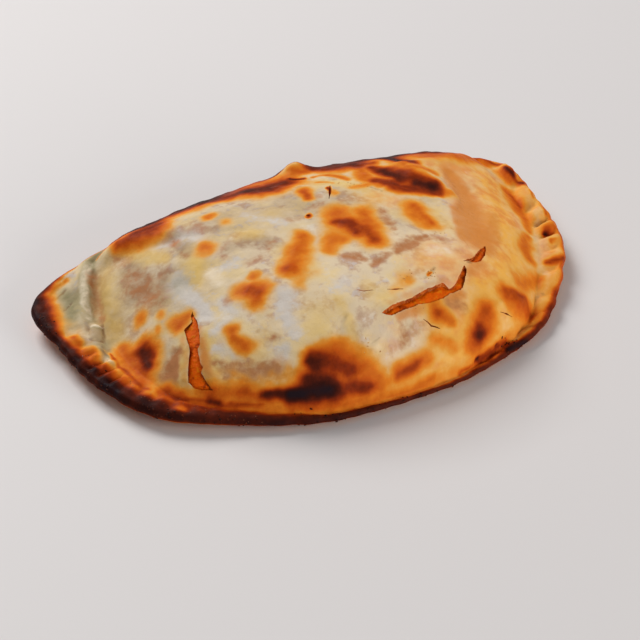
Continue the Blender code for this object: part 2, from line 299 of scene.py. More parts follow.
BACK_OF_ROUND = 0.75


def sphere_mesh(name, steps):
    """A ball's mesh, ready to be shaped: its faces lie in rows round it, which begin at the back,
    in the same order in each run. Also how far round and how far down each point lies, 0 to 1."""
    count, levels = steps
    turn = (BACK_OF_ROUND + np.arange(count) / count) % 1.0
    rows = 1 + np.arange(count * (levels - 1)).reshape(-1, count)
    after = np.roll(rows, -1, axis=1)
    top, bottom = 0, count * (levels - 1) + 1
    faces = [(top, b, a) for a, b in zip(rows[0], after[0])]
    for upper, upper_after, lower, lower_after in zip(rows, after, rows[1:], after[1:]):
        faces += zip(upper, upper_after, lower_after, lower)
    faces += [(a, b, bottom) for a, b in zip(rows[-1], after[-1])]
    around = np.concatenate([[0], np.tile(turn, levels - 1), [0]])
    down = np.concatenate([[0], np.repeat(np.arange(1, levels) / levels, count), [1]])
    mesh = bpy.data.meshes.new(name)
    mesh.from_pydata(np.zeros((len(around), 3)), [], faces)
    return mesh, around, down


def points_of(mesh):
    """The mesh's points, one row each."""
    flat = np.empty(len(mesh.vertices) * 3, np.float32)
    mesh.vertices.foreach_get("co", flat)
    return flat.reshape(-1, 3).astype(float)


def set_points(mesh, points):
    """Moves the mesh's points."""
    mesh.vertices.foreach_set("co", points.astype(np.float32).ravel())
    mesh.update()


def normals_of(mesh):
    """The mesh's normals, one row for each point."""
    flat = np.empty(len(mesh.vertices) * 3, np.float32)
    mesh.vertices.foreach_get("normal", flat)
    return flat.reshape(-1, 3).astype(float)


def crust_points(around, down):
    """The outside of the dough: dome, crimped rim and flat underside. Also how far each point
    lies past the foot of the dome and in from the edge, and the wave of the pleats there."""
    x, y, lift, rim, half, crimp = edge_values(around)[:6]
    spoke = np.stack([x, y], 1) - CROWN
    radius = np.linalg.norm(spoke, axis=1)
    foot = 1 - rim / radius
    on_dome = down / FOOT_AT
    rounded = DOME_EVENNESS * on_dome + (1 - DOME_EVENNESS) * np.sin(on_dome * np.pi / 2)
    over_rim = np.sin((down - FOOT_AT) / (EDGE_AT - FOOT_AT) * np.pi / 2)
    reach = np.select(
        [down < FOOT_AT, down <= EDGE_AT],
        [foot * rounded, foot + (1 - foot) * over_rim],
        np.cos((down - EDGE_AT) / (1 - EDGE_AT) * np.pi / 2),
    )
    past_foot = (reach - foot) * radius
    from_edge = (1 - reach) * radius
    slant = PLEAT_SLANT * np.clip(past_foot / rim, -1, 1)
    phase = around * PLEATS_ROUND + drift(around, PITCH_DRIFT) + slant
    lobes = 1 - 2 * (0.5 - 0.5 * np.cos(2 * np.pi * phase)) ** PLEAT_PINCH
    wave = lobes * np.clip(crimp, 0, 1) * (1 + drift(around, DEPTH_DRIFT))

    rugged = (1 - fade(from_edge, *CRAG_REACH)) * np.clip(4 * crimp, 0, 1)
    flat = np.column_stack([CROWN + reach[:, None] * spoke, np.zeros(len(reach))])
    crags = CRAG_HEIGHT * rugged * even_noise(flat, CRAG_SIZE, lift=5)

    edge_height = lift + half
    inward = np.clip(from_edge / (LIP_ROUNDING * half), 0, 1)
    lip = half * np.sqrt(1 - (1 - inward) ** 2)
    dome = dome_height(reach / foot, CROWN_HEIGHT - edge_height, rim)
    scallop = 1 + (SCALLOP * wave * fade(reach, SCALLOP_START, 1) + crags) / radius
    place = CROWN + (reach * scallop)[:, None] * spoke
    pleats = wave * PLEAT_DEPTH * fade(past_foot, *PLEAT_RISE) * fade(from_edge, *PLEAT_START)
    pleats *= 1 - fade(from_edge, *PLEAT_REACH)
    dip = np.exp(-((past_foot / FOOT_GROOVE_WIDTH - 0.5) ** 2))
    groove = FOOT_GROOVE * dip * tucked_in(rim, crimp)
    relief = unevenness(place) * fade(from_edge, 0, SMOOTH_EDGE) + pleats + crags - groove
    risen_lip = larger_blended(dome, lip, by_rim(FOOT_BLEND, rim)) * fade(inward, -0.3, 0.3)
    top = edge_height + risen_lip + relief * fade(inward, 0, 1)

    base = np.maximum(1 - (rim + BASE_REACH) / radius, BASE_LEAST)
    risen = np.clip((reach - base) / (1 - base), 0, 1)
    under = edge_height * (1 - np.sqrt(1 - risen**2))
    outside = np.column_stack([place, np.where(down <= EDGE_AT, top, under)])
    return outside, past_foot, from_edge, wave


crust_mesh, crust_around, crust_down = sphere_mesh("baked_crust", CRUST_STEPS)
smooth_at, past_foot, from_edge, pleat_wave = crust_points(crust_around, crust_down)
set_points(crust_mesh, smooth_at)
crust = add_object("baked_crust", crust_mesh)
crust_tree = BVHTree.FromObject(crust, bpy.context.evaluated_depsgraph_get())

# How the marks on the dough are laid: where a sight line that misses the crust is searched, how
# clearly the stronger of two marks leads, and the swirls, by size and shift, that their edges take.
LINE_SEARCH = (0.78, 1.02, 0.002)
LEAST_SPAN = 1e-12
MARK_LEAD = 4
SWIRL_SEED = 1
SWIRLS = ((0.0080, 0.0013), (0.0026, 0.0006))
FINE_SWIRLS = ((0.0030, 0.0004),)
noise.seed_set(SWIRL_SEED)


def on_crust(px, py):
    """The point of the smooth crust that the camera sees at a pixel, or the nearest to its line."""
    line = sight_line(px, py)
    hit = crust_tree.ray_cast(CAMERA_AT, line)[0]
    if hit is None:
        along = [CAMERA_AT + line * reach for reach in np.arange(*LINE_SEARCH)]
        hit = min((crust_tree.find_nearest(at) for at in along), key=lambda found: found[3])[0]
    return np.array(hit)


def spread(points, marks):
    """Strength of the marks at each point. A mark is a strength, a crispness of its edge, and a
    line of pixels with a radius at each: it fades with the distance from the line. Where marks
    meet, the stronger one leads."""
    total = np.zeros(len(points))
    for strength, crisp, *line in marks:
        places = np.array([on_crust(px, py) for px, py, _ in line])
        radii = np.array([radius * PIXEL for _, _, radius in line])
        nearest = np.full(len(points), np.inf)
        for k in range(max(len(line) - 1, 1)):
            after = min(k + 1, len(line) - 1)
            span = places[after] - places[k]
            away = points - places[k]
            share = np.clip(away @ span / max(span @ span, LEAST_SPAN), 0, 1)
            radius = radii[k] + share * (radii[after] - radii[k])
            distance = np.linalg.norm(away - share[:, None] * span, axis=1)
            nearest = np.minimum(nearest, distance / radius)
        total += (strength * np.exp(-0.5 * nearest**crisp)) ** MARK_LEAD
    return total ** (1 / MARK_LEAD)


def warped(points, swirls):
    """The points shifted by swirls of noise, which make the edge of a mark wander."""
    moved = points.copy()
    for size, amount in swirls:
        moved += amount * np.array([noise.noise_vector(Vector(p) / size) for p in points])
    return moved


# What stands up and what is sunk in the dough's skin: marks whose strength is a height in tenths
# of a millimetre.
RAISED = (
    (7, 2, (385, 306, 6), (400, 297, 6), (416, 292, 6), (429, 283, 6), (444, 279, 5)),
    (6, 2, (450, 281, 4), (458, 272, 4), (461, 263, 4)),
    (5, 2, (180, 335, 5), (184, 350, 4), (185, 365, 4), (184, 380, 5)),
    (5, 2, (203, 325, 4), (204, 345, 4), (207, 365, 4), (213, 380, 4)),
    (6, 2, (76, 339, 4)),
    (7, 2, (92, 350, 4)),
    (7, 2, (96, 357, 3)),
    (7, 2, (97, 328, 4)),
    (6, 2, (112, 363, 5)),
    (5, 2, (131, 382, 4)),
    (5, 2, (168, 226, 6)),
    (5, 2, (215, 278, 9)),
    (4, 2, (190, 275, 6), (200, 290, 6)),
    (4, 3, (430, 160, 5), (400, 163, 5)),
    (4, 3, (440, 200, 5), (450, 215, 6), (450, 232, 6), (456, 248, 5)),
    (4, 3, (452, 192, 4), (457, 204, 4)),
    (4, 2, (500, 304, 4), (503, 309, 3)),
    (4, 2, (518, 300, 6)),
    (4, 2, (330, 205, 4), (352, 200, 4), (372, 206, 4)),
    (4, 2, (300, 238, 5), (291, 268, 6)),
    (3, 2, (250, 286, 8)),
    (3, 2, (366, 342, 4), (372, 350, 3)),
    (3, 2, (362, 352, 3), (376, 344, 3)),
    (3, 2, (148, 257, 9)),
    (3, 2, (250, 234, 10)),
    (3, 2, (347, 320, 5), (342, 305, 5)),
    (4, 2, (481, 350, 4), (497, 340, 4), (466, 362, 4)),
)
SUNK = (
    (4, 2, (137, 277, 7), (148, 292, 9)),
    (4, 2, (172, 240, 7)),
    (4, 2, (230, 366, 7), (262, 368, 7)),
    (3, 2, (172, 356, 5), (170, 380, 5)),
    (4, 2, (386, 214, 5), (392, 228, 5)),
    (4, 2, (402, 247, 4), (414, 239, 4), (426, 237, 3)),
    (4, 2, (354, 256, 6), (378, 262, 5)),
    (4, 2, (403, 328, 5), (404, 342, 5)),
    (7, 3, (451, 175, 6), (464, 190, 8), (471, 205, 12), (474, 222, 14), (477, 240, 9)),
    (3, 2, (180, 285, 8)),
    (4, 2, (310, 206, 5), (295, 218, 4)),
    (5, 3, (345, 316, 2), (338, 336, 3)),
    (4, 2, (50, 297, 2), (63, 284, 2)),
    (5, 2, (72, 302, 2), (64, 311, 2)),
    (5, 2, (69, 329, 2), (80, 328, 2)),
    (7, 2, (88, 334, 2), (89, 324, 2)),
    (7, 2, (90, 339, 2), (103, 341, 2)),
    (7, 2, (101, 325, 2), (107, 351, 3)),
    (6, 2, (94, 275, 4), (97, 300, 4), (101, 322, 3)),
    (5, 2, (84, 345, 2), (80, 352, 2)),
    (5, 2, (104, 358, 2), (100, 366, 2)),
    (3, 2, (226, 376, 1.5), (246, 381, 1.5)),
    (3, 2, (275, 375, 1.5), (292, 372, 1.5)),
    (4, 2, (433, 271, 2), (427, 278, 2)),
    (5, 2, (477, 358, 3)),
    (5, 2, (497, 347, 3)),
)
RELIEF_UNIT = 0.0001
# Ripples of the dough's skin: size, height, and where in the noise they are read.
RIPPLES = ((0.0070, 0.00032, 3.0), (0.0030, 0.00016, 8.0), (0.0014, 0.00006, 5.0))
WRINKLE_SIZE = 0.0052
WRINKLE_HEIGHT = 0.00012
WRINKLE_TURN = 35.0
WRINKLE_STRETCH = 0.3
WRINKLE_NARROWNESS = 4
RELIEF_END = 0.03


def wrinkles(points):
    """Height of long fine wrinkles that run slantwise over the dough, 1 on their ridges."""
    c, s = math.cos(math.radians(WRINKLE_TURN)), math.sin(math.radians(WRINKLE_TURN))
    along = (points[:, 0] * c + points[:, 1] * s) * WRINKLE_STRETCH
    across = -points[:, 0] * s + points[:, 1] * c
    laid = np.column_stack([along, across, points[:, 2]])
    return 1 - np.abs(even_noise(laid, WRINKLE_SIZE, lift=2)) * WRINKLE_NARROWNESS


outward = normals_of(crust_mesh)
on_top = 1 - fade(crust_down, EDGE_AT - RELIEF_END, EDGE_AT)
height = sum(even_noise(smooth_at, size, lift) * high for size, high, lift in RIPPLES)
height += WRINKLE_HEIGHT * np.clip(wrinkles(smooth_at), 0, 1)
finely_warped = warped(smooth_at, FINE_SWIRLS)
height += RELIEF_UNIT * (spread(finely_warped, RAISED) - spread(finely_warped, SUNK))
set_points(crust_mesh, smooth_at + outward * (height * on_top)[:, None])


def give_attribute(mesh, name, values):
    """Stores one number for each point of the mesh."""
    mesh.attributes.new(name, "FLOAT", "POINT").data.foreach_set("value", values.astype(np.float32))


def attribute_of(mesh, name):
    """The numbers stored for the points of the mesh."""
    values = np.empty(len(mesh.vertices), np.float32)
    mesh.attributes[name].data.foreach_get("value", values)
    return values.astype(float)


# The edge is baked darkest: its colour fades over a band whose width wanders. The foot of the
# dome is darker than what lies round it. The underside is baked even, but pale along its seam.
BAND_CRISPNESS = (2.6, 2)
BAND_WANDER = ((0.0065, 0.5), (0.0022, 0.25))
HALO_REACH = 1.9
# Painted shade: the dark band of the edge reaches further in along the grooves of the pleats and
# less far on their crests.
PLEAT_GROOVE_SHADE = 0.22
FOOT_BROWNING = 0.3
FOOT_BAND = 0.0011
UNDERSIDE_BROWNING = 0.36
UNDERSIDE_PATCH = 0.0110
SEAM = 0.0016
SEAM_AT = 0.7
SEAM_SHARPNESS = 4
SEAM_PALENESS = 0.75
PATCH_CONTRAST = 0.5
# Where the picture doesn't show the dough, browned spots of the same kind lie scattered over it.
SPOT_SIZE = 0.0120
SPOT_BROWNING = 0.62
SPOT_LIMITS = (0.12, 0.40)
HIDDEN_LIMITS = (0.0, 0.25)
# Along the fold, where the dough turns away from the view, runs a browned band.
FOLD_BROWNING = 0.74
FOLD_PATCH = 0.0140
FOLD_LIMITS = (-0.36, -0.10)
FOLD_END = (0.25, 0.55)
FOLD_SHARPNESS = 6


def edge_browning(points, normals):
    """Browning by rule: of the edge, the foot of the dome, the underside and the hidden back."""
    _, _, _, rim, _, crimp, strength, band, halo = edge_values(crust_around)
    band = band * (1 + sum(share * even_noise(points, size, lift=4) for size, share in BAND_WANDER))
    # painted shade in the grooves of the pleats
    band = band * (1 - PLEAT_GROOVE_SHADE * pleat_wave)
    edge = strength * np.exp(-0.5 * (from_edge / band) ** by_rim(BAND_CRISPNESS, rim))
    edge = np.maximum(edge, halo * np.exp(-0.5 * (from_edge / band / HALO_REACH) ** 2))
    foot = FOOT_BROWNING * np.exp(-((past_foot / FOOT_BAND) ** 2)) * tucked_in(rim, crimp)
    view = np.array(CAMERA_AT) - points
    facing = (view * normals).sum(1) / np.linalg.norm(view, axis=1)
    spots = SPOT_BROWNING * fade(even_noise(points, SPOT_SIZE, lift=9), *SPOT_LIMITS)
    spots = spots * fade(-facing, *HIDDEN_LIMITS)
    fold = FOLD_BROWNING * (1 + PATCH_CONTRAST * even_noise(points, FOLD_PATCH, lift=7))
    fold = fold * (1 - np.clip(FOLD_SHARPNESS * crimp, 0, 1))
    fold *= fade(-facing, *FOLD_LIMITS) * (1 - fade(-facing, *FOLD_END))
    upper = np.maximum(np.maximum(edge, foot), np.maximum(fold, spots))
    patches = 1 + PATCH_CONTRAST * even_noise(points, UNDERSIDE_PATCH, lift=6)
    patches = UNDERSIDE_BROWNING * patches
    outermost = np.exp(-from_edge / SEAM)
    seam = np.exp(-SEAM_SHARPNESS * (from_edge / SEAM - SEAM_AT) ** 2)
    under = (strength * outermost + patches * (1 - outermost)) * (1 - SEAM_PALENESS * seam)
    return np.where(crust_down <= EDGE_AT, upper, under)


give_attribute(crust_mesh, "edge browning", edge_browning(smooth_at, outward))

# The outlines of the tears, in pixels of the picture.
LONG_TEAR = (
    (382, 313), (391, 308), (399, 304), (408, 301), (416, 297), (424, 292), (432, 289),
    (443, 285), (449, 289), (454, 287), (458, 280), (461, 274), (464, 267), (467, 270),
    (465, 280), (463, 288), (457, 292), (450, 293), (444, 298), (436, 301), (427, 303),
    (418, 305), (409, 309), (401, 312), (392, 316), (386, 315),
)
SIDE_TEAR = (
    (468, 261), (474, 257), (479, 251), (482, 248), (485, 245),
    (486, 250), (485, 256), (481, 262), (475, 263),
)
SHORT_TEAR = (
    (192, 311), (195, 317), (197, 321), (198, 326), (199, 332), (200, 340), (200, 345),
    (198, 350), (199, 356), (200, 362), (203, 369), (201, 373), (205, 380), (209, 386),
    (214, 390), (204, 390), (195, 388), (188, 384), (188, 372), (189, 360), (190, 351),
    (187, 341), (184, 330), (187, 326), (192, 321), (191, 316),
)
# Each tear: its outline, the height down to which it is cut, and the seed of its ragged lips.
TEARS = {
    "long tear": (LONG_TEAR, 0.012, 3),
    "side tear": (SIDE_TEAR, 0.012, 4),
    "short tear": (SHORT_TEAR, 0.005, 5),
}
TEAR_STEP = 0.0006
TEAR_RAGGED = 0.00009
TEAR_TOP = 0.045
# Slits and cracks: half their width in pixels, their depth in metres, and the line they follow.
SLITS = (
    (1.2, 0.0012, (330, 186), (330, 189), (330, 193), (329, 199)),
    (2.0, 0.0012, (306, 214), (307, 214.3), (309, 214.7), (310, 215)),
    (0.6, 0.0005, (357, 290), (364, 291), (373, 290)),
    (0.7, 0.0005, (387, 290), (395, 290), (403, 290)),
    (0.7, 0.0005, (423, 319), (431, 326), (440, 329)),
    (0.6, 0.0004, (500, 312), (506, 314), (512, 317)),
    (1.2, 0.0008, (463, 262), (468, 260), (471, 259)),
)
SLIT_RAISE = 0.0012
SLIT_END = 0.3
LIP = 0.0005
THIN_REACH = 0.0040
FILLING_SINK = 0.0003
BULGE_REACH = 0.0005
FROM_ABOVE = 0.1
dough = bpy.data.materials.new("baked dough")
torn_dough = bpy.data.materials.new("torn dough")


def outline_on_crust(pixels, seed):
    """A tear's closed outline in plan, from its outline in the picture, with ragged lips."""
    draw = np.random.default_rng(seed)
    ring = np.array([on_crust(px, py)[:2] for px, py in pixels + pixels[:1]])
    run = np.concatenate([[0], np.cumsum(np.linalg.norm(np.diff(ring, axis=0), axis=1))])
    at = np.linspace(0, run[-1], round(run[-1] / TEAR_STEP), endpoint=False)
    fine = np.stack([np.interp(at, run, ring[:, k]) for k in (0, 1)], 1)
    return fine + draw.uniform(-TEAR_RAGGED, TEAR_RAGGED, fine.shape)


def cutter_from(name, block):
    """A cutter from a bmesh. Its faces carry the second material, which the cut takes over."""
    bmesh.ops.triangulate(block, faces=block.faces)
    bmesh.ops.recalc_face_normals(block, faces=block.faces)
    for face in block.faces:
        face.material_index = 1
    mesh = bpy.data.meshes.new(name)
    block.to_mesh(mesh)
    block.free()
    mesh.materials.append(dough)
    mesh.materials.append(torn_dough)
    return add_object(name, mesh)


def upright_block(name, outline, low, high):
    """A closed block with upright sides over a flat outline."""
    block = bmesh.new()
    lid = block.faces.new([block.verts.new((x, y, low)) for x, y in outline])
    raised = bmesh.ops.extrude_face_region(block, geom=[lid])["geom"]
    risen = [v for v in raised if isinstance(v, bmesh.types.BMVert)]
    bmesh.ops.translate(block, vec=(0, 0, high - low), verts=risen)
    return cutter_from(name, block)


def add_wedge(block, half_width, depth, pixels):
    """Adds a narrow wedge to a bmesh: it follows a line on the crust and points down into it."""
    line = [Vector(on_crust(px, py)) for px, py in pixels]
    rings = []
    for k, at in enumerate(line):
        ahead = (line[min(k + 1, len(line) - 1)] - line[max(k - 1, 0)]).normalized()
        out = crust_tree.find_nearest(at)[1]
        taper = 1 if 0 < k < len(line) - 1 else SLIT_END
        side = ahead.cross(out).normalized() * half_width * PIXEL * taper
        top = at + out * SLIT_RAISE
        spread_top = side * (1 + SLIT_RAISE / depth)
        corners = (top + spread_top, top - spread_top, at - out * depth)
        rings.append([block.verts.new(corner) for corner in corners])
    for a, b in zip(rings, rings[1:]):
        for k in range(3):
            block.faces.new((a[k], a[(k + 1) % 3], b[(k + 1) % 3], b[k]))
    block.faces.new(rings[0])
    block.faces.new(rings[-1][::-1])


def make_plain(piece):
    """Turns the piece with its modifier into a plain mesh."""
    bpy.context.view_layer.update()
    finished = piece.evaluated_get(bpy.context.evaluated_depsgraph_get())
    plain = bpy.data.meshes.new_from_object(finished)
    piece.modifiers.clear()
    piece.data = plain


def put_in_order(piece):
    """Sorts the piece's faces by their points, because each run cuts them in another order.
    The piece keeps the browning of its edge, which lies on its points."""
    faces = []
    for face in piece.data.polygons:
        ring = list(face.vertices)
        lowest = ring.index(min(ring))
        faces.append((ring[lowest:] + ring[:lowest], face.material_index))
    faces.sort()
    ordered = bpy.data.meshes.new(piece.name)
    ordered.from_pydata(points_of(piece.data), [], [ring for ring, _ in faces])
    for material in piece.data.materials:
        ordered.materials.append(material)
    ordered.polygons.foreach_set("material_index", [index for _, index in faces])
    give_attribute(ordered, "edge browning", attribute_of(piece.data, "edge browning"))
    piece.data = ordered


def cut_away(piece, cutter):
    """Takes the cutter's shape out of the piece, and drops the cutter."""
    boolean = piece.modifiers.new("cut", "BOOLEAN")
    boolean.operation = "DIFFERENCE"
    boolean.solver = "MANIFOLD"
    boolean.object = cutter
    make_plain(piece)
    put_in_order(piece)
    bpy.data.objects.remove(cutter)


tear_outlines = {name: outline_on_crust(line, seed) for name, (line, _, seed) in TEARS.items()}
LEAST_RISE = 1e-15


def depth_in_tear(place):
    """How far inside a tear's outline each point in plan lies, below 0 outside."""
    depth = np.full(len(place), -np.inf)
    for outline in tear_outlines.values():
        near = np.array([np.linalg.norm(outline - at, axis=1).min() for at in place])
        crossings = np.zeros(len(place), int)
        for (ax, ay), (bx, by) in zip(outline, np.roll(outline, -1, axis=0)):
            level = (place[:, 1] < ay) != (place[:, 1] < by)
            run = place[:, 1] - ay
            crossings += level & (place[:, 0] < ax + run * (bx - ax) / (by - ay + LEAST_RISE))
        depth = np.maximum(depth, np.where(crossings % 2, near, -near))
    return depth


def pocket_points(around, down, gap):
    """The hollow in the dough, or with a gap the filling in it: the dome again, one sheet further
    in. Round the tears the sheet has thinned out, and the filling swells into them."""
    x, y, lift, rim, half = edge_values(around)[:5]
    spoke = np.stack([x, y], 1) - CROWN
    radius = np.linalg.norm(spoke, axis=1)
    wall = 1 - (rim + POCKET_INSET + gap) / radius
    reach = np.where(
        down < POCKET_EDGE_AT,
        np.sin(down / POCKET_EDGE_AT * np.pi / 2),
        np.cos((down - POCKET_EDGE_AT) / (1 - POCKET_EDGE_AT) * np.pi / 2),
    )
    place = CROWN + (reach * wall)[:, None] * spoke
    waist = 0.5 * (lift + half) + DOUGH
    slow = unevenness(place, POCKET_SWELLS) * (1 - fade(reach, POCKET_CALM, 1))
    roof = waist + dome_height(reach, CROWN_HEIGHT - DOUGH - gap - waist, rim) + slow
    inside = depth_in_tear(place)
    straight_down = Vector((0, 0, -1))
    for k in np.flatnonzero((inside > -3 * THIN_REACH) & (down < POCKET_EDGE_AT)):
        skin = crust_tree.ray_cast(Vector((*place[k], FROM_ABOVE)), straight_down)[0].z
        thinned = math.exp(-((min(inside[k], 0) / THIN_REACH) ** 2))
        roof[k] += (skin - LIP - gap - roof[k]) * thinned
        if gap:
            roof[k] += (skin - FILLING_SINK - roof[k]) * float(fade(inside[k], 0, BULGE_REACH))
    floor_of_pocket = waist - (waist - DOUGH - gap) * np.sqrt(np.clip(1 - reach**4, 0, 1))
    return np.column_stack([place, np.where(down < POCKET_EDGE_AT, roof, floor_of_pocket)])


crust_mesh.materials.append(dough)
crust_mesh.materials.append(torn_dough)
pocket_mesh, pocket_around, pocket_down = sphere_mesh("pocket", POCKET_STEPS)
set_points(pocket_mesh, pocket_points(pocket_around, pocket_down, 0.0))
pocket = bmesh.new()
pocket.from_mesh(pocket_mesh)
cut_away(crust, cutter_from("pocket", pocket))
for tear_name, outline in tear_outlines.items():
    cut_away(crust, upright_block(tear_name, outline, TEARS[tear_name][1], TEAR_TOP))
slits = bmesh.new()
for half_width, depth, *pixels in SLITS:
    add_wedge(slits, half_width, depth, pixels)
cut_away(crust, cutter_from("slits", slits))
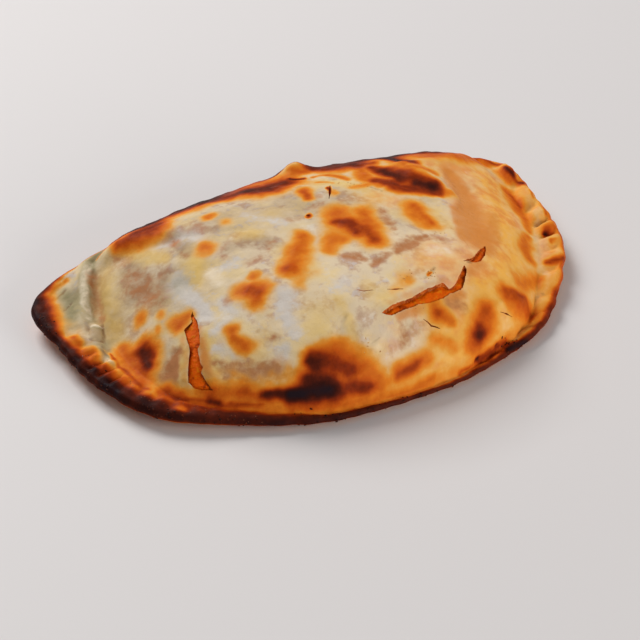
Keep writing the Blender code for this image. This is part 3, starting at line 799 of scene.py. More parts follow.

# The colours that the oven and the filling left on the dough, with painted shade and painted
# highlights among them, as marks on the picture. Browning runs from gold at 0.2 over orange at 0.4
# and brown at 0.65 to char at 1.
BROWNED = (
    # the middle and the left
    (0.46, 2, (244, 290, 10), (262, 287, 10), (255, 301, 9)),
    (0.52, 2, (248, 292, 9), (260, 293, 8)),
    (0.42, 2.3, (254, 276, 6)),
    (0.30, 2, (272, 286, 6)),
    (0.44, 2.3, (232, 331, 8)),
    (0.46, 2, (237, 338, 6), (246, 346, 9)),
    (0.56, 2, (143, 354, 15), (146, 367, 13)),
    (0.73, 2, (148, 356, 11), (143, 352, 9), (150, 365, 7)),
    (0.44, 2, (124, 349, 9), (132, 366, 12), (148, 380, 9)),
    (0.42, 2, (141, 318, 8)),
    (0.30, 2, (162, 316, 6)),
    (0.34, 2.3, (157, 332, 6)),
    (0.46, 2, (178, 324, 9), (186, 318, 6)),
    (0.42, 2, (204, 248, 9)),
    (0.42, 2, (208, 217, 6), (213, 214, 5)),
    (0.26, 2, (226, 222, 7)),
    # the long mark right of the middle
    (0.44, 2, (301, 237, 8), (297, 252, 11), (291, 268, 10)),
    (0.54, 2, (289, 270, 8)),
    (0.16, 2, (314, 274, 7)),
    (0.24, 2, (304, 250, 12), (300, 284, 8)),
    # the butterfly
    (0.44, 2, (337, 213, 12), (346, 224, 14)),
    (0.44, 2, (364, 213, 11), (371, 228, 13), (375, 241, 12)),
    (0.40, 2, (333, 238, 12), (329, 248, 9)),
    (0.42, 2, (343, 240, 7)),
    (0.66, 2, (337, 221, 6), (350, 224, 10), (356, 233, 8)),
    (0.54, 2, (364, 228, 7), (375, 240, 8)),
    # round the slit and the pinhole
    (0.52, 2, (304, 190, 8), (307, 197, 5)),
    (0.80, 3, (308, 214.5, 4)),
    (0.74, 3, (330, 188, 2.5), (330, 196, 2)),
    (0.40, 2, (335, 193, 5)),
    (0.44, 2.3, (316, 177, 3), (332, 175, 3), (348, 178, 4)),
    (0.46, 2.3, (315, 183, 2), (331, 183, 2)),
    (0.32, 2, (354, 187, 6), (370, 183, 5)),
    # the dark crest
    (0.68, 3, (374, 168, 9), (390, 172, 12), (410, 178, 12), (434, 184, 10)),
    (0.68, 3, (378, 180, 9), (396, 186, 12), (416, 190, 12), (436, 192, 9)),
    (0.72, 2, (384, 172, 7), (398, 180, 9)),
    (0.76, 2, (418, 184, 8), (436, 188, 7)),
    (0.46, 2, (358, 168, 8), (368, 178, 9)),
    (0.56, 2.3, (348, 164, 6), (372, 163, 7)),
    (0.38, 2, (448, 192, 8)),
    (0.44, 2, (392, 161, 5), (410, 166, 6), (433, 172, 6)),
    # the right
    (0.42, 2, (413, 208, 10), (419, 216, 12), (431, 225, 9)),
    (0.42, 2, (416, 207, 6), (432, 224, 4)),
    (0.46, 2, (508, 192, 9), (515, 204, 11), (523, 218, 8), (528, 230, 6)),
    (0.52, 2, (514, 198, 5), (520, 208, 5)),
    (0.44, 2, (527, 236, 7), (525, 250, 10), (530, 260, 8)),
    (0.92, 2.3, (547, 234, 4)),
    (0.58, 2, (550, 231, 9)),
    (0.66, 2.3, (550, 242, 3), (563, 241, 4)),
    (0.66, 2, (547, 260, 4), (563, 260, 5)),
    (0.54, 2, (505, 293, 11), (518, 302, 14), (529, 312, 12)),
    (0.56, 2, (506, 289, 6), (517, 294, 6), (526, 300, 5)),
    (0.55, 2, (486, 311, 12), (483, 325, 15), (474, 341, 13)),
    (0.78, 2, (478, 333, 9)),
    (0.44, 2, (435, 305, 8), (438, 314, 11), (449, 321, 7)),
    (0.50, 2, (438, 311, 6)),
    (0.46, 2, (557, 292, 4), (552, 308, 5), (545, 322, 5), (534, 334, 4)),
    (0.34, 2.3, (436, 342, 10), (451, 346, 8)),
    (0.20, 2.3, (404, 278, 10), (392, 294, 5)),
    (0.28, 2, (408, 282, 5)),
    (0.60, 2.3, (432, 272, 1.6), (429, 275, 1.4)),
    (0.90, 2.3, (477, 358, 4)),
    (0.86, 2.3, (497, 347, 3)),
    (0.86, 2.3, (508, 349, 4), (520, 343, 5), (528, 339, 3)),
    (0.40, 2, (520, 282, 13), (538, 280, 9)),
    (0.62, 2, (480, 362, 4), (497, 353, 4), (460, 371, 3)),
    # the burnt front
    (0.46, 2.6, (320, 356, 12), (340, 353, 13), (360, 366, 13), (378, 383, 12)),
    (0.68, 2, (314, 358, 9), (330, 363, 12), (350, 370, 10)),
    (0.72, 2, (311, 362, 6), (319, 367, 7)),
    (0.97, 2, (292, 395, 8), (304, 393, 11), (316, 391, 12), (330, 389, 11)),
    (0.76, 2, (310, 379, 9), (326, 378, 8)),
    (0.82, 2, (262, 395, 5), (280, 394, 7), (298, 392, 8)),
    (0.70, 2, (338, 395, 8), (350, 387, 11), (368, 387, 9)),
    (0.52, 2, (244, 392, 8), (262, 398, 9)),
    (0.46, 2.3, (398, 373, 9), (414, 366, 9), (428, 361, 8)),
    (0.56, 2, (396, 376, 5), (418, 364, 6)),
    (0.44, 2, (290, 407, 5), (330, 406, 6), (370, 401, 6), (400, 392, 5), (432, 380, 5)),
    (0.64, 2, (480, 357, 6), (495, 350, 6), (507, 343, 5)),
    (0.66, 2, (138, 399, 7), (165, 403, 8), (190, 407, 7), (225, 411, 6), (250, 414, 5)),
    (0.72, 2, (214, 401, 6), (223, 403, 5)),
    (0.46, 2, (205, 392, 8), (235, 393, 7)),
    (0.56, 2.3, (158, 391, 2), (180, 397, 2.5), (205, 401, 3), (235, 405, 3), (264, 407, 2)),
    # the rim and the tip on the left
    (0.84, 2, (38, 302, 11), (43, 314, 10), (50, 328, 8)),
    (0.14, 2, (50, 300, 8), (55, 316, 7), (60, 332, 6)),
    (0.36, 2, (46, 292, 5), (66, 281, 3)),
    (0.60, 2, (165, 393, 9), (185, 398, 7)),
    (0.60, 2, (112, 382, 6), (132, 391, 7)),
    (0.78, 2, (118, 391, 5)),
    (0.48, 2, (74, 337, 5), (78, 344, 5)),
    (0.48, 2, (90, 352, 5), (94, 358, 5)),
    (0.42, 2, (104, 366, 4), (122, 378, 5), (145, 384, 6)),
    (0.66, 2, (58, 340, 4), (72, 353, 5), (86, 365, 5), (102, 377, 5), (118, 389, 5)),
    (0.84, 2, (92, 371, 5), (101, 377, 6), (108, 385, 7)),
    (0.58, 2, (92, 364, 5), (104, 371, 6), (116, 381, 6)),
    (0.56, 2.3, (106, 349, 2), (118, 366, 2.6), (131, 378, 2.8), (148, 389, 2.8)),
    # the back edge
    (0.60, 2, (120, 243, 9), (138, 237, 12), (156, 229, 13)),
    (0.68, 2, (136, 233, 9), (158, 224, 10)),
    (0.64, 2, (158, 221, 9), (175, 213, 9), (200, 204, 9), (225, 198, 9), (246, 192, 11)),
    (0.74, 2, (248, 191, 15), (266, 188, 18), (284, 182, 14)),
    (0.56, 2, (254, 193, 9), (272, 190, 11)),
    (0.48, 2.3, (293, 170, 8), (302, 171, 8)),
    (0.80, 2, (289, 178, 3), (304, 179, 3)),
    (0.74, 2, (312, 168, 12), (332, 167, 16), (354, 165, 13)),
    (0.60, 2, (395, 156, 6), (440, 152, 6), (480, 155, 5), (498, 165, 4)),
    (0.47, 2, (425, 156, 12), (462, 157, 10), (490, 163, 7)),
    (0.84, 2, (506, 167, 5), (514, 174, 6), (522, 183, 5)),
    (0.48, 2, (502, 172, 8), (510, 182, 6)),
    (0.50, 2, (530, 190, 3), (545, 210, 3), (556, 228, 3)),
)
GOLDEN = (
    (1.00, 2, (490, 180, 24), (502, 215, 30), (512, 255, 34), (490, 300, 38), (470, 340, 30)),
    (0.80, 2, (410, 160, 22), (440, 162, 30), (475, 170, 26)),
    (0.60, 2, (372, 200, 12), (392, 200, 12)),
    (0.50, 2, (460, 262, 14), (440, 262, 12)),
    (0.90, 2, (455, 340, 28), (435, 370, 17), (400, 390, 13)),
    (0.60, 2, (440, 325, 18), (410, 300, 8)),
    (1.00, 2, (512, 180, 12), (535, 205, 12), (550, 235, 12), (552, 265, 13), (548, 295, 13),
     (530, 325, 13)),
    (0.65, 2, (446, 262, 18), (432, 250, 16), (425, 262, 14)),
    (0.35, 2, (400, 348, 20)),
)
YELLOWED = (
    (0.60, 3, (133, 256, 8), (150, 257, 11), (163, 260, 7)),
    (0.60, 3, (242, 235, 9), (256, 235, 8)),
    (0.40, 2, (272, 213, 9)),
    (0.60, 3, (336, 302, 6), (349, 318, 5), (349, 338, 6)),
    (0.55, 2, (104, 275, 12), (108, 310, 14), (118, 342, 10)),
    (0.50, 3, (172, 214, 8), (160, 226, 8)),
    (0.80, 2, (196, 262, 9), (197, 284, 8)),
    (0.45, 2, (305, 240, 14), (306, 280, 8)),
    (0.50, 2, (320, 312, 16), (316, 330, 16)),
    (0.60, 2, (318, 183, 8), (345, 183, 9), (372, 194, 10)),
    (0.50, 2, (384, 300, 12), (366, 285, 6)),
    (0.34, 2, (266, 335, 12), (258, 352, 10)),
    (0.50, 2, (430, 215, 12), (448, 225, 10)),
    (0.60, 2, (262, 408, 6), (300, 408, 5)),
    (0.80, 2, (182, 336, 5), (184, 358, 6), (182, 380, 6)),
    (0.80, 2, (206, 338, 6), (209, 352, 7), (214, 370, 7)),
)
OILED = (
    (0.98, 2.6, (450, 174, 10), (463, 194, 13), (471, 214, 18), (477, 240, 18)),
    (0.70, 4, (455, 210, 7), (462, 238, 6)),
    (0.65, 3, (491, 215, 9), (494, 235, 9), (488, 252, 9)),
    (0.60, 3, (478, 262, 7), (470, 272, 5)),
    (0.60, 2, (183, 338, 3), (187, 358, 3), (185, 380, 4)),
    (0.85, 2, (201, 330, 3), (203, 346, 4), (206, 368, 5), (215, 384, 5)),
    (0.70, 3, (400, 316, 5), (425, 307, 6), (448, 300, 6), (462, 294, 5)),
    (0.45, 3, (390, 304, 4), (420, 290, 4), (445, 281, 4)),
    (0.55, 2, (446, 305, 8), (462, 305, 6)),
    (0.38, 2, (464, 254, 12)),
)
DAMP = (
    (0.50, 2, (133, 275, 9), (144, 283, 12)),
    (0.58, 2, (135, 290, 10), (152, 303, 14)),
    (0.40, 2, (163, 275, 8), (158, 290, 8)),
    (0.65, 3, (168, 236, 7), (176, 243, 7)),
    (0.60, 3, (183, 255, 5)),
    (0.75, 2, (215, 363, 4), (232, 368, 6), (252, 371, 7), (273, 368, 7)),
    (0.60, 3, (224, 377, 2), (250, 380, 2), (286, 374, 2)),
    (1.00, 2, (179, 350, 4), (173, 364, 6), (168, 380, 8)),
    (0.50, 2, (272, 337, 5)),
    (0.45, 2, (268, 315, 4)),
    (0.45, 2, (227, 300, 5)),
    (0.70, 2.4, (382, 211, 5), (388, 220, 6), (394, 229, 3)),
    (0.85, 2.4, (397, 252, 5), (406, 244, 7), (416, 239, 6), (427, 236, 4)),
    (0.66, 2.4, (347, 255, 5), (356, 255, 7), (366, 259, 4)),
    (0.60, 2.4, (371, 265, 4), (380, 260, 5), (390, 255, 3)),
    (0.50, 2.4, (311, 208, 4), (318, 203, 5), (324, 201, 3)),
    (0.50, 2.4, (290, 220, 5), (299, 216, 4)),
    (0.60, 2.4, (400, 324, 3), (404, 334, 5), (405, 344, 5)),
    (0.45, 2, (345, 202, 6), (360, 200, 6)),
    (0.45, 2, (194, 226, 10), (206, 232, 7)),
    (0.45, 2, (236, 236, 4), (217, 254, 4), (226, 257, 4)),
    (0.45, 2, (250, 262, 5), (268, 254, 5), (270, 243, 4)),
    (0.60, 2, (92, 275, 5), (96, 298, 5), (100, 318, 5)),
    (0.55, 2, (113, 250, 7), (124, 262, 7)),
    (0.55, 3, (462, 305, 6), (448, 303, 5)),
    (0.55, 3, (318, 196, 5)),
    (0.50, 2, (440, 240, 6), (425, 236, 5)),
)
# Painted highlights and painted light: a pale cream laid on the crests, ridges, knuckles and lips
# that catch the light, and on lit parts of the front.
PAINTED_HIGHLIGHT_MARKS = (
    (0.80, 2.4, (168, 226, 7)),
    (0.66, 2, (212, 275, 8), (219, 284, 8)),
    (0.40, 2, (205, 288, 8)),
    (0.55, 2, (130, 232, 5), (118, 243, 4)),
    (0.65, 2, (320, 196, 6)),
    (0.60, 2, (390, 236, 6), (398, 240, 5)),
    (0.30, 2, (328, 270, 14), (345, 276, 12)),
    (0.50, 2, (392, 362, 8), (415, 345, 8)),
    (0.60, 3, (88, 262, 4), (84, 280, 5), (84, 300, 6), (88, 318, 5)),
    (0.85, 3, (97, 327, 5)),
    (0.40, 2, (365, 322, 9), (372, 312, 7)),
    (0.30, 2, (302, 330, 10), (318, 318, 10)),
    (0.60, 3, (96, 357, 4), (112, 362, 4)),
    (0.50, 2, (430, 160, 5), (410, 158, 4)),
    (0.25, 3, (468, 172, 6), (482, 176, 6)),
    (0.55, 2, (548, 272, 4), (546, 286, 4)),
    (0.50, 2, (537, 222, 5)),
    (0.40, 2, (255, 312, 12), (215, 320, 10)),
    (0.45, 2, (302, 222, 8), (318, 232, 8)),
    (0.55, 2, (445, 252, 10), (430, 250, 8)),
    (0.50, 2, (365, 345, 6), (375, 350, 5)),
)
# Painted shade: a grey brown laid where the dough lies in shade, over the left flank, the knuckles
# on the left and along the back.
PAINTED_SHADE_MARKS = (
    (0.75, 2, (130, 270, 10), (140, 290, 16), (160, 300, 12), (165, 277, 8)),
    (0.75, 2, (165, 240, 10), (180, 240, 10), (186, 254, 6)),
    (0.55, 2, (228, 247, 8), (262, 240, 10), (270, 245, 8)),
    (0.45, 2, (278, 200, 10), (292, 202, 8)),
    (0.55, 2, (110, 262, 10), (120, 250, 8)),
    (0.34, 2, (140, 262, 36), (205, 232, 34), (180, 300, 30)),
    (0.75, 2, (98, 290, 9), (104, 312, 12), (110, 335, 14)),
    (0.35, 2, (425, 160, 26), (470, 168, 26)),
    (0.45, 2, (192, 250, 14), (196, 226, 14), (222, 216, 12)),
    (0.45, 2, (132, 252, 16)),
    (0.75, 2, (76, 340, 8), (94, 356, 9), (112, 371, 9)),
    (0.42, 2, (225, 218, 26), (285, 208, 28), (345, 200, 26)),
    (0.40, 2, (492, 172, 16)),
    (0.30, 2, (400, 218, 16), (430, 200, 12)),
    (0.50, 2, (160, 350, 10), (160, 375, 10)),
)
BLANCHED = (
    (0.95, 2, (178, 284, 10), (192, 300, 9), (205, 316, 7)),
    (0.75, 2, (160, 244, 7), (194, 236, 9), (212, 252, 7)),
    (0.80, 2, (222, 302, 7), (232, 314, 6), (216, 332, 6)),
    (0.60, 2, (236, 262, 7), (222, 270, 6)),
    (0.80, 2, (286, 292, 8), (284, 314, 8), (296, 330, 8)),
    (0.60, 2, (250, 215, 8), (282, 224, 7)),
    (0.60, 2, (338, 286, 9), (352, 280, 7)),
    (0.60, 2, (312, 226, 6), (318, 258, 6)),
    (0.60, 2, (222, 352, 8), (240, 356, 6)),
    (0.50, 2, (380, 330, 8), (395, 340, 6)),
    (0.85, 2, (278, 361, 7), (284, 350, 6)),
)
# Underbaked dough at the left tip, on the ridge and knuckles there, and a little on the right rim,
# in a colour darkened with painted shade.
RAW_AND_SHADED = (
    (0.90, 2, (62, 296, 10), (72, 300, 13), (68, 320, 12)),
    (0.15, 2, (530, 200, 4), (533, 225, 4), (535, 250, 4)),
    (0.50, 2, (96, 346, 5), (108, 358, 5), (116, 368, 4)),
    (0.95, 3, (104, 249, 4), (90, 262, 5), (84, 280, 6), (84, 300, 7), (89, 318, 6)),
    (0.90, 3, (97, 328, 5)),
    (0.60, 2, (105, 345, 6), (115, 360, 5)),
    (0.40, 2, (180, 285, 12)),
)
# Painted shade: dark brown drawn in the creases between the knuckles, in the dome's foot, in pits,
# by the tears and along the steps of the torn skin.
CREASE_SHADE_MARKS = (
    (0.60, 2, (435, 268, 2), (430, 275, 2)),
    (0.55, 2, (428, 276, 1.5), (424, 279, 1.5)),
    (0.60, 2, (452, 230, 1.5), (456, 234, 1.5)),
    (0.40, 2, (441, 168, 1.2), (452, 182, 1.2), (462, 196, 1.2), (457, 212, 1.2),
     (459, 234, 1.2), (470, 249, 1.2)),
    (0.70, 2, (193, 320, 1.5), (188, 324, 1.5), (183, 330, 1.5)),
    (0.55, 2, (361, 347, 1.5), (367, 350, 1.5), (374, 349, 1.5)),
    (0.50, 2, (369, 345, 1.2), (375, 341, 1.2), (380, 337, 1.2)),
    (0.80, 3, (50, 297, 2), (63, 284, 2)),
    (0.70, 3, (56, 299, 1.5), (66, 290, 1.5)),
    (0.70, 3, (72, 302, 1.5), (64, 311, 1.5)),
    (0.70, 3, (69, 329, 1.5), (80, 328, 1.5)),
    (0.80, 3, (88, 334, 2), (89, 325, 2)),
    (0.85, 3, (90, 339, 2), (103, 341, 2)),
    (0.85, 3, (101, 325, 2), (107, 351, 2.5)),
    (0.55, 2, (93, 270, 3), (96, 300, 3), (101, 322, 3)),
    (0.75, 2, (70, 338, 6), (82, 347, 6), (94, 357, 6), (108, 350, 6)),
    (0.60, 2, (103, 346, 2.5), (118, 365, 2.5), (131, 377, 2.5), (146, 387, 1.5)),
    (0.75, 3, (69, 347, 1.5), (80, 337, 2)),
    (0.80, 3, (85, 344, 2), (79, 355, 1.5)),
    (0.80, 3, (97, 352, 2), (90, 364, 1.5)),
    (0.80, 3, (108, 361, 2), (101, 371, 1.5)),
    (0.75, 3, (117, 370, 2), (112, 379, 1.5)),
    (0.55, 2, (226, 377, 1.5), (246, 381, 1.5)),
    (0.50, 2, (275, 375, 1.5), (292, 372, 1.5)),
    (0.70, 3, (470, 262, 2), (464, 263, 1.5)),
    (0.45, 2, (361, 345, 3), (368, 340, 2)),
    (0.50, 3, (356, 290, 1), (372, 290.5, 1), (388, 290, 1), (403, 290, 1)),
    (0.45, 2, (366, 350, 2), (376, 352, 2)),
    (0.60, 3, (368, 186, 1.5), (382, 191, 1.5)),
    (0.75, 3, (555, 302, 2), (543, 295, 2), (529, 284, 2)),
    (0.45, 2, (500, 345, 4), (475, 352, 3), (450, 372, 2)),
)
# How thickly crumbs, beads of oil and toasted specks lie on it, as marks on the picture.
CRUMBED = (
    (0.6, 3, (58, 346, 3), (69, 361, 4), (80, 373, 4), (92, 382, 4), (106, 390, 4)),
    (0.6, 3, (130, 405, 4), (160, 412, 4), (190, 417, 4), (225, 421, 5), (255, 423, 5)),
    (0.5, 2, (300, 419, 4), (350, 417, 4), (400, 404, 4), (450, 388, 3)),
    (0.5, 2, (38, 318, 5), (48, 333, 5)),
    (0.6, 2, (505, 350, 5), (525, 342, 4)),
    (1.0, 3, (69, 367, 3)),
    (1.0, 3, (100, 371, 3), (107, 373, 2)),
)
BEADED = (
    (1.0, 2, (75, 349, 3)),
    (1.0, 2, (86, 356, 3)),
    (1.0, 2, (93, 367, 3), (98, 371, 3)),
    (1.0, 2, (128, 379, 4), (135, 384, 4)),
    (0.6, 2, (145, 398, 5), (170, 402, 5), (209, 411, 5)),
    (0.8, 2, (228, 418, 5), (258, 420, 5)),
    (0.5, 2, (190, 386, 3), (208, 388, 3)),
    (0.5, 2, (388, 315, 2), (430, 303, 2), (458, 293, 2)),
)
SPECKED = (
    (1.0, 2, (431, 273, 3), (428, 278, 2)),
    (0.3, 2, (362, 346, 3), (374, 350, 4)),
    (0.8, 2, (452, 231, 3)),
    (0.5, 2, (345, 184, 4), (362, 188, 4)),
    (0.5, 2, (437, 231, 3), (405, 279, 3)),
)

places = points_of(crust.data)
wandering = warped(places, SWIRLS)
finely_wandering = warped(places, FINE_SWIRLS)
by_rule = attribute_of(crust.data, "edge browning")
browning = (spread(wandering, BROWNED) ** MARK_LEAD + by_rule**MARK_LEAD) ** (1 / MARK_LEAD)
give_attribute(crust.data, "browning", browning)
MARKED = (
    ("golden", GOLDEN, wandering),
    ("raw_and_shaded", RAW_AND_SHADED, wandering),
    ("yellow", YELLOWED, wandering),
    ("painted_shade", PAINTED_SHADE_MARKS, wandering),
    ("blanched", BLANCHED, wandering),
    ("oiled", OILED, finely_wandering),
    ("damp", DAMP, wandering),
    ("painted_highlight", PAINTED_HIGHLIGHT_MARKS, wandering),
    ("crease_shade", CREASE_SHADE_MARKS, finely_wandering),
    ("crumbs", CRUMBED, places),
    ("beads", BEADED, places),
    ("specks", SPECKED, places),
)
for field_name, marks, at in MARKED:
    give_attribute(crust.data, field_name, spread(at, marks))


class NodeBench:
    """Places and joins the nodes of a tree, which it empties first."""

    def __init__(self, tree):
        self.tree = tree
        self.tree.nodes.clear()

    def add(self, kind, settings=None, **inputs):
        """A node with its settings and inputs. An input goes by its name, or _ and its number."""
        node = self.tree.nodes.new(kind)
        for name, value in (settings or {}).items():
            setattr(node, name, value)
        for name, value in inputs.items():
            numbered = name[1:].isdigit()
            self.feed(node.inputs[int(name[1:]) if numbered else name.replace("_", " ")], value)
        return node

    def feed(self, socket, value):
        """Joins an input to another socket, or sets it to a value."""
        if isinstance(value, bpy.types.NodeSocket):
            self.tree.links.new(value, socket)
        else:
            socket.default_value = value

    def chain(self, operation, numbers):
        """The numbers joined one after the other by an operation."""
        total = numbers[0]
        for number in numbers[1:]:
            node = self.add("ShaderNodeMath", {"operation": operation}, _0=total, _1=number)
            total = node.outputs[0]
        return total

    def sum(self, *terms):
        """The sum of sockets and numbers."""
        return self.chain("ADD", terms)

    def times(self, *factors):
        """The product of sockets and numbers."""
        return self.chain("MULTIPLY", factors)

    def between(self, value, low, high, to_low=0.0, to_high=1.0):
        """The value brought smoothly from low..high to to_low..to_high."""
        kind = {"interpolation_type": "SMOOTHSTEP"}
        node = self.add("ShaderNodeMapRange", kind, Value=value, From_Min=low, From_Max=high)
        node.inputs["To Min"].default_value = to_low
        node.inputs["To Max"].default_value = to_high
        return node.outputs["Result"]

    def grain(self, broad_size, fine_size):
        """A broad and a fine layer of grain, with lumps of the given sizes in metres."""
        place = self.add("ShaderNodeTexCoord").outputs["Object"]
        sizes = {"Broad_size": broad_size, "Fine_size": fine_size}
        node = self.add("ShaderNodeGroup", {"node_tree": GRAIN}, Place=place, **sizes)
        return node.outputs["Broad"], node.outputs["Fine"]

    def over(self, below, above, share):
        """A colour with another laid over it."""
        node = self.add("ShaderNodeMix", {"data_type": "RGBA"}, Factor=share)
        for socket, colour in ((node.inputs[6], below), (node.inputs[7], above)):
            plain = isinstance(colour, tuple)
            self.feed(socket, (*colour, 1) if plain else colour)
        return node.outputs[2]

    def blend_of(self, value, steps):
        """A colour read from a row of (position, colour) steps."""
        node = self.add("ShaderNodeValToRGB", Fac=value)
        stops = node.color_ramp.elements
        while len(stops) < len(steps):
            stops.new(0.5)
        for stop, (at, colour) in zip(stops, steps):
            stop.position = at
            stop.color = (*colour, 1)
        return node.outputs["Color"]

    def finish(self, colour, roughness, specular, relief=None):
        """The shader of a material. Its relief is a height, a strength and a depth in metres."""
        shader = self.add("ShaderNodeBsdfPrincipled", Base_Color=colour, Roughness=roughness)
        shader.inputs["Specular IOR Level"].default_value = specular
        if relief:
            raised = dict(zip(("Height", "Strength", "Distance"), relief))
            bump = self.add("ShaderNodeBump", **raised)
            self.feed(shader.inputs["Normal"], bump.outputs["Normal"])
        self.add("ShaderNodeOutputMaterial", Surface=shader.outputs["BSDF"])
        return shader


def bench_for(material):
    """An empty bench for the nodes of a material."""
    material.use_nodes = True
    return NodeBench(material.node_tree)


def add_sockets(tree, way, sockets):
    """Gives a tree its named inputs or outputs."""
    for label, kind in sockets:
        tree.interface.new_socket(name=label, in_out=way, socket_type=f"NodeSocket{kind}")


# The grain that the dough, its torn edges, the filling and the crumbs share.
GRAIN = bpy.data.node_groups.new("grain", "ShaderNodeTree")
add_sockets(GRAIN, "INPUT", (("Place", "Vector"), ("Broad size", "Float"), ("Fine size", "Float")))
add_sockets(GRAIN, "OUTPUT", (("Broad", "Float"), ("Fine", "Float")))
bench = NodeBench(GRAIN)
given = bench.add("NodeGroupInput").outputs
layers = {}
for layer in ("Broad", "Fine"):
    size = given[f"{layer} size"]
    scale = bench.add("ShaderNodeMath", {"operation": "DIVIDE"}, _0=1.0, _1=size).outputs[0]
    lumpy = {"Scale": scale, "Detail": 3.0, "Roughness": 0.56}
    lumps = bench.add("ShaderNodeTexNoise", Vector=given["Place"], **lumpy)
    layers[layer] = bench.sum(lumps.outputs["Fac"], -0.5)
bench.add("NodeGroupOutput", **layers)

CREAM = linear(218, 198, 168)
GREY_PINK = linear(182, 146, 124)
STRAW = linear(226, 200, 150)
COOL_GREY = linear(204, 196, 192)
COOL_WHITE = linear(208, 198, 188)
TAN_GOLD = linear(234, 172, 78)
TAN_ORANGE = linear(224, 144, 68)
OIL_ORANGE = linear(208, 130, 58)
WET_DOUGH = linear(178, 120, 78)
# The dull olive of underbaked dough, darkened with painted shade.
SHADED_RAW_DOUGH = linear(146, 136, 100)
# The pale cream of painted highlights.
PAINTED_HIGHLIGHT_CREAM = linear(234, 216, 188)
# The dark brown of painted shade in creases.
CREASE_SHADE_BROWN = linear(112, 74, 42)
BUTTER_YELLOW = linear(222, 184, 100)
# The grey brown of painted shade.
PAINTED_SHADE_GREY = linear(150, 120, 90)
BROWN_STEPS = (
    (0.06, linear(224, 176, 98)),
    (0.20, linear(224, 158, 68)),
    (0.34, linear(220, 126, 36)),
    (0.50, linear(194, 86, 22)),
    (0.64, linear(142, 50, 16)),
    (0.76, linear(88, 32, 18)),
    (0.88, linear(52, 22, 18)),
    (1.00, linear(36, 25, 30)),
)

bench = bench_for(dough)
tints_and_painted_light = ("golden", "yellow", "raw_and_shaded", "painted_shade", "blanched", "oiled", "damp", "painted_highlight", "crease_shade")
fields = {}
for name in ("browning", *tints_and_painted_light):
    fields[name] = bench.add("ShaderNodeAttribute", {"attribute_name": name}).outputs["Fac"]
broad, patchy = bench.grain(0.0105, 0.0046)
mottle, speckle = bench.grain(0.0019, 0.0006)


def roughened(field, broad_share, fine_share):
    """A field with its edges broken up by grain, where it isn't zero."""
    room = bench.between(field, 0.0, 0.25)
    grains = bench.sum(bench.times(patchy, broad_share), bench.times(mottle, fine_share))
    return bench.sum(field, bench.times(grains, room))


# Bare dough: cream, with straw, grey pink and cool grey patches.
colour = bench.over(CREAM, STRAW, bench.between(broad, -0.05, 0.16, 0.0, 0.8))
pinkish = bench.sum(patchy, bench.times(broad, -0.8))
colour = bench.over(colour, GREY_PINK, bench.between(pinkish, 0.0, 0.20, 0.0, 0.8))
greyish = bench.sum(mottle, patchy)
colour = bench.over(colour, COOL_GREY, bench.between(greyish, 0.06, 0.24, 0.0, 0.6))
tannish = bench.sum(broad, bench.times(patchy, 0.7))
tan = bench.over(TAN_GOLD, TAN_ORANGE, bench.between(tannish, -0.12, 0.16))
# What lies over it, in order: the field, its colour, how much the patches and the mottle break up
# its edge, and between which strengths it comes to cover.
SKIN_TINTS_AND_PAINTED_LIGHT = (
    # painted shade
    ("painted_shade", PAINTED_SHADE_GREY, 0.6, 0.35, ()),
    ("yellow", BUTTER_YELLOW, 0.6, 0.4, ()),
    ("blanched", COOL_WHITE, 1.2, 0.9, (0.1, 0.9)),
    ("golden", tan, 0.8, 0.4, ()),
    # underbaked dough with painted shade
    ("raw_and_shaded", SHADED_RAW_DOUGH, 0.5, 0.4, ()),
    # painted highlights
    ("painted_highlight", PAINTED_HIGHLIGHT_CREAM, 0.7, 0.6, (0.15, 0.9)),
    ("oiled", OIL_ORANGE, 0.3, 0.2, (0.05, 0.9, 0.0, 0.9)),
)
for name, tint, patchy_share, mottle_share, limits in SKIN_TINTS_AND_PAINTED_LIGHT:
    share = roughened(fields[name], patchy_share, mottle_share)
    colour = bench.over(colour, tint, bench.between(share, *limits) if limits else share)
# Painted shade in the creases, pits and grooves is laid over that.
colour = bench.over(colour, CREASE_SHADE_BROWN, bench.between(fields["crease_shade"], 0.2, 0.9, 0.0, 0.75))
baked = roughened(fields["browning"], 0.18, 0.12)
browned = bench.blend_of(baked, BROWN_STEPS)
colour = bench.over(colour, browned, bench.between(baked, 0.02, 0.26))
unbaked = bench.between(baked, 0.12, 0.36, 1.0, 0.0)
wetness = bench.between(roughened(fields["damp"], 1.0, 0.8), 0.05, 0.9)
colour = bench.over(colour, WET_DOUGH, bench.times(wetness, unbaked))
sheen = bench.between(baked, 0.6, 0.95, 0.42, 0.46)
roughness = bench.sum(sheen, bench.times(patchy, 0.25), bench.times(fields["oiled"], -0.12))
rise = bench.sum(bench.times(mottle, 0.8), bench.times(speckle, 0.45))
bench.finish(colour, roughness, specular=0.015, relief=(rise, 0.5, 0.0004))

TORN_DARK = linear(140, 56, 16)
TORN_ORANGE = linear(186, 86, 26)
TORN_PALE = linear(222, 150, 80)
bench = bench_for(torn_dough)
patchy, mottle = bench.grain(0.0030, 0.0009)
colour = bench.over(TORN_DARK, TORN_ORANGE, bench.between(patchy, -0.12, 0.12))
colour = bench.over(colour, TORN_PALE, bench.between(mottle, 0.04, 0.2, 0.0, 0.5))
bench.finish(colour, 0.6, specular=0.05, relief=(mottle, 0.6, 0.0005))

SHARP_FROM = 50.0
crust.data.shade_smooth()
crust.data.set_sharp_from_angle(angle=math.radians(SHARP_FROM))
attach(crust, "root")
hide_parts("crust")

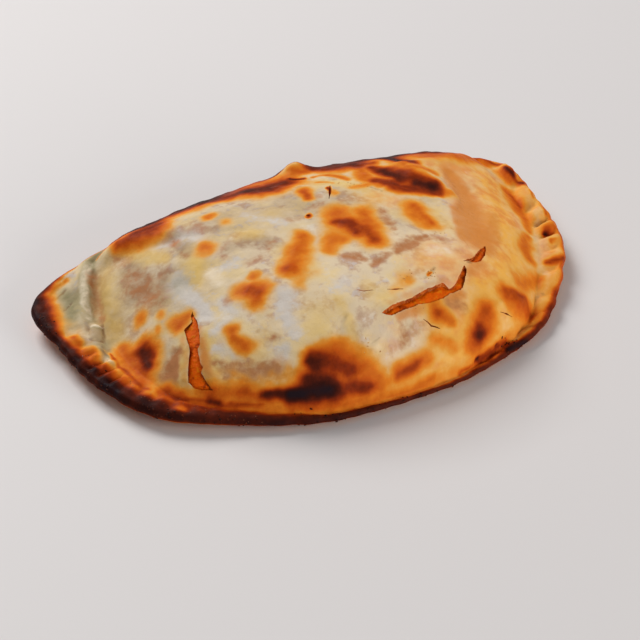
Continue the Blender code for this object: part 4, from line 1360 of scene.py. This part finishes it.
# ---------------------------------------------------------------------------------------------
# The filling. A moist orange-brown stew of meat and onion that fills the whole pocket and shows,
# glossy and uneven, in both tears.
# ---------------------------------------------------------------------------------------------
GAP = 0.0003
FILLING_STEPS = (460, 150)
CHUNK_SIZE = 0.0034
CHUNK_DEPTH = 0.0007
SHRED_SIZE = 0.0012
SHRED_DEPTH = 0.00022
filling_mesh, filling_around, filling_down = sphere_mesh("stewed_filling", FILLING_STEPS)
filling_at = pocket_points(filling_around, filling_down, GAP)
chunks = np.abs(even_noise(filling_at, CHUNK_SIZE, lift=1)) * CHUNK_DEPTH
chunks = chunks + np.abs(even_noise(filling_at, SHRED_SIZE)) * SHRED_DEPTH
filling_at[:, 2] -= chunks * (filling_down < POCKET_EDGE_AT)
set_points(filling_mesh, filling_at)
filling = add_object("stewed_filling", filling_mesh)

STEW_ORANGE = linear(224, 92, 8)
STEW_GOLD = linear(222, 124, 14)
STEW_BROWN = linear(150, 50, 6)
stew = bpy.data.materials.new("stewed filling")
bench = bench_for(stew)
patchy, mottle = bench.grain(0.0034, 0.0011)
colour = bench.over(STEW_ORANGE, STEW_BROWN, bench.between(patchy, 0.06, 0.18, 0.0, 0.8))
golden = bench.sum(mottle, bench.times(patchy, -0.5))
colour = bench.over(colour, STEW_GOLD, bench.between(golden, 0.04, 0.2, 0.0, 0.8))
bench.finish(colour, 0.5, specular=0.03, relief=(mottle, 0.7, 0.0006))
filling_mesh.materials.append(stew)
filling_mesh.shade_smooth()
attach(filling, "root")
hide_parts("filling")

# ---------------------------------------------------------------------------------------------
# Crumbs. Bits of charred dough that broke off the burnt edge and stuck to it: uneven, flattish
# and up to a millimetre across. They lie thickest on the left of the front edge.
# ---------------------------------------------------------------------------------------------
BIT_SHAPES = 3
BIT_LUMPS = 1.6
BIT_TILT = 0.5


def scatter_tree(name):
    """Geometry nodes that strew small bits over the crust, as thickly as its attribute says."""
    tree = bpy.data.node_groups.new(name, "GeometryNodeTree")
    numbers = ("Bits per area", "Apart", "Smallest", "Largest", "Flatness", "Raggedness")
    add_sockets(tree, "INPUT", [("Crust", "Object")] + [(label, "Float") for label in numbers])
    add_sockets(tree, "INPUT", (("Seed", "Int"), ("Material", "Material")))
    add_sockets(tree, "OUTPUT", (("Bits", "Geometry"),))
    bench = NodeBench(tree)
    given = bench.add("NodeGroupInput").outputs
    seed = given["Seed"]
    skin = bench.add("GeometryNodeObjectInfo", Object=given["Crust"]).outputs["Geometry"]
    thickly = bench.add("GeometryNodeInputNamedAttribute", {"data_type": "FLOAT"}, Name=name)
    spots = bench.add(
        "GeometryNodeDistributePointsOnFaces",
        {"distribute_method": "POISSON"},
        Mesh=skin,
        Distance_Min=given["Apart"],
        Density_Max=given["Bits per area"],
        Density_Factor=thickly.outputs["Attribute"],
        Seed=seed,
    ).outputs
    # A few ragged kinds of bit, one across before each is given its size.
    kinds = bench.add("GeometryNodeGeometryToInstance")
    for kind in range(BIT_SHAPES):
        ball = bench.add("GeometryNodeMeshIcoSphere", Radius=0.5, Subdivisions=1).outputs["Mesh"]
        lumpy = {"W": 3.0 * kind, "Scale": BIT_LUMPS, "Detail": 1.0}
        dents = bench.add("ShaderNodeTexNoise", {"noise_dimensions": "4D"}, **lumpy)
        push = bench.add(
            "ShaderNodeVectorMath",
            {"operation": "SUBTRACT"},
            _0=dents.outputs["Color"],
            _1=(0.5, 0.5, 0.5),
        )
        push = bench.add(
            "ShaderNodeVectorMath",
            {"operation": "SCALE"},
            _0=push.outputs[0],
            Scale=given["Raggedness"],
        )
        bit = bench.add("GeometryNodeSetPosition", Geometry=ball, Offset=push.outputs[0])
        tree.links.new(bit.outputs["Geometry"], kinds.inputs["Geometry"])
    limits = []
    for limit in ("Smallest", "Largest"):
        across, flat = given[limit], bench.times(given[limit], given["Flatness"])
        limits.append(bench.add("ShaderNodeCombineXYZ", X=across, Y=across, Z=flat).outputs[0])
    of_vectors = {"data_type": "FLOAT_VECTOR"}
    size = bench.add("FunctionNodeRandomValue", of_vectors, _0=limits[0], _1=limits[1], Seed=seed)
    turn = (BIT_TILT, BIT_TILT, 2 * math.pi)
    spin = bench.add("FunctionNodeRandomValue", of_vectors, _1=turn, Seed=seed)
    in_place = {"rotation_space": "LOCAL"}
    laid = bench.add("FunctionNodeRotateRotation", in_place, Rotation=spots["Rotation"])
    tree.links.new(spin.outputs[0], laid.inputs["Rotate By"])
    last = BIT_SHAPES - 1
    which = bench.add("FunctionNodeRandomValue", {"data_type": "INT"}, _4=0, _5=last, Seed=seed)
    strewn = bench.add(
        "GeometryNodeInstanceOnPoints",
        Points=spots["Points"],
        Instance=kinds.outputs["Instances"],
        Pick_Instance=True,
        Instance_Index=which.outputs[2],
        Rotation=laid.outputs["Rotation"],
        Scale=size.outputs[0],
    ).outputs["Instances"]
    real = bench.add("GeometryNodeRealizeInstances", Geometry=strewn).outputs["Geometry"]
    painted = bench.add("GeometryNodeSetMaterial", Geometry=real, Material=given["Material"])
    bench.add("NodeGroupOutput", Bits=painted.outputs["Geometry"])
    return tree


def strew(piece_name, attribute, material, values):
    """Makes a piece of bits that lie on the crust as thickly as an attribute of it says."""
    piece = add_object(piece_name, bpy.data.meshes.new(piece_name))
    nodes = piece.modifiers.new("bits", "NODES")
    nodes.node_group = scatter_tree(attribute)
    values = {"Crust": crust, "Material": material, **values}
    for socket in nodes.node_group.interface.items_tree:
        if socket.name in values:
            nodes[socket.identifier] = values[socket.name]
    make_plain(piece)
    piece.data.shade_smooth()
    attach(piece, "root")


CHAR_BLACK = linear(40, 20, 18)
CHAR_BROWN = linear(104, 44, 22)
char = bpy.data.materials.new("charred crumb")
bench = bench_for(char)
patchy, mottle = bench.grain(0.0012, 0.0004)
colour = bench.over(CHAR_BLACK, CHAR_BROWN, bench.between(bench.sum(patchy, mottle), -0.05, 0.2))
bench.finish(colour, 0.45, specular=0.04, relief=(mottle, 0.5, 0.0002))
crumb_values = {
    "Bits per area": 600000.0,
    "Apart": 0.0007,
    "Smallest": 0.0003,
    "Largest": 0.0011,
    "Flatness": 0.55,
    "Raggedness": 0.9,
    "Seed": 11,
}
strew("char_crumbs", "crumbs", char, crumb_values)

# ---------------------------------------------------------------------------------------------
# Oil. Fat that seeped from the seam and the tears while the dough baked, and dried to small
# glossy beads on the edge.
# ---------------------------------------------------------------------------------------------
OIL_BROWN = linear(150, 90, 60)
oil = bpy.data.materials.new("beads of oil")
bench = bench_for(oil)
glossy = bench.finish((*OIL_BROWN, 1), 0.12, specular=0.5)
glossy.inputs["Coat Weight"].default_value = 0.6
glossy.inputs["Coat Roughness"].default_value = 0.05
bead_values = {
    "Bits per area": 700000.0,
    "Apart": 0.0007,
    "Smallest": 0.0002,
    "Largest": 0.00035,
    "Flatness": 0.8,
    "Raggedness": 0.1,
    "Seed": 12,
}
strew("oil_beads", "beads", oil, bead_values)

# ---------------------------------------------------------------------------------------------
# Specks. Flecks of flour and of the dough's own skin, flat and toasted brown. They lie by the
# long tear and here and there over the dome.
# ---------------------------------------------------------------------------------------------
TOAST_BROWN = linear(176, 116, 60)
TOAST_GOLD = linear(216, 166, 100)
toast = bpy.data.materials.new("toasted speck")
bench = bench_for(toast)
patchy, mottle = bench.grain(0.0040, 0.0008)
colour = bench.over(TOAST_BROWN, TOAST_GOLD, bench.between(bench.sum(patchy, mottle), -0.05, 0.2))
bench.finish(colour, 0.7, specular=0.1)
speck_values = {
    "Bits per area": 900000.0,
    "Apart": 0.0005,
    "Smallest": 0.0003,
    "Largest": 0.0007,
    "Flatness": 0.3,
    "Raggedness": 0.9,
    "Seed": 13,
}
strew("toasted_specks", "specks", toast, speck_values)
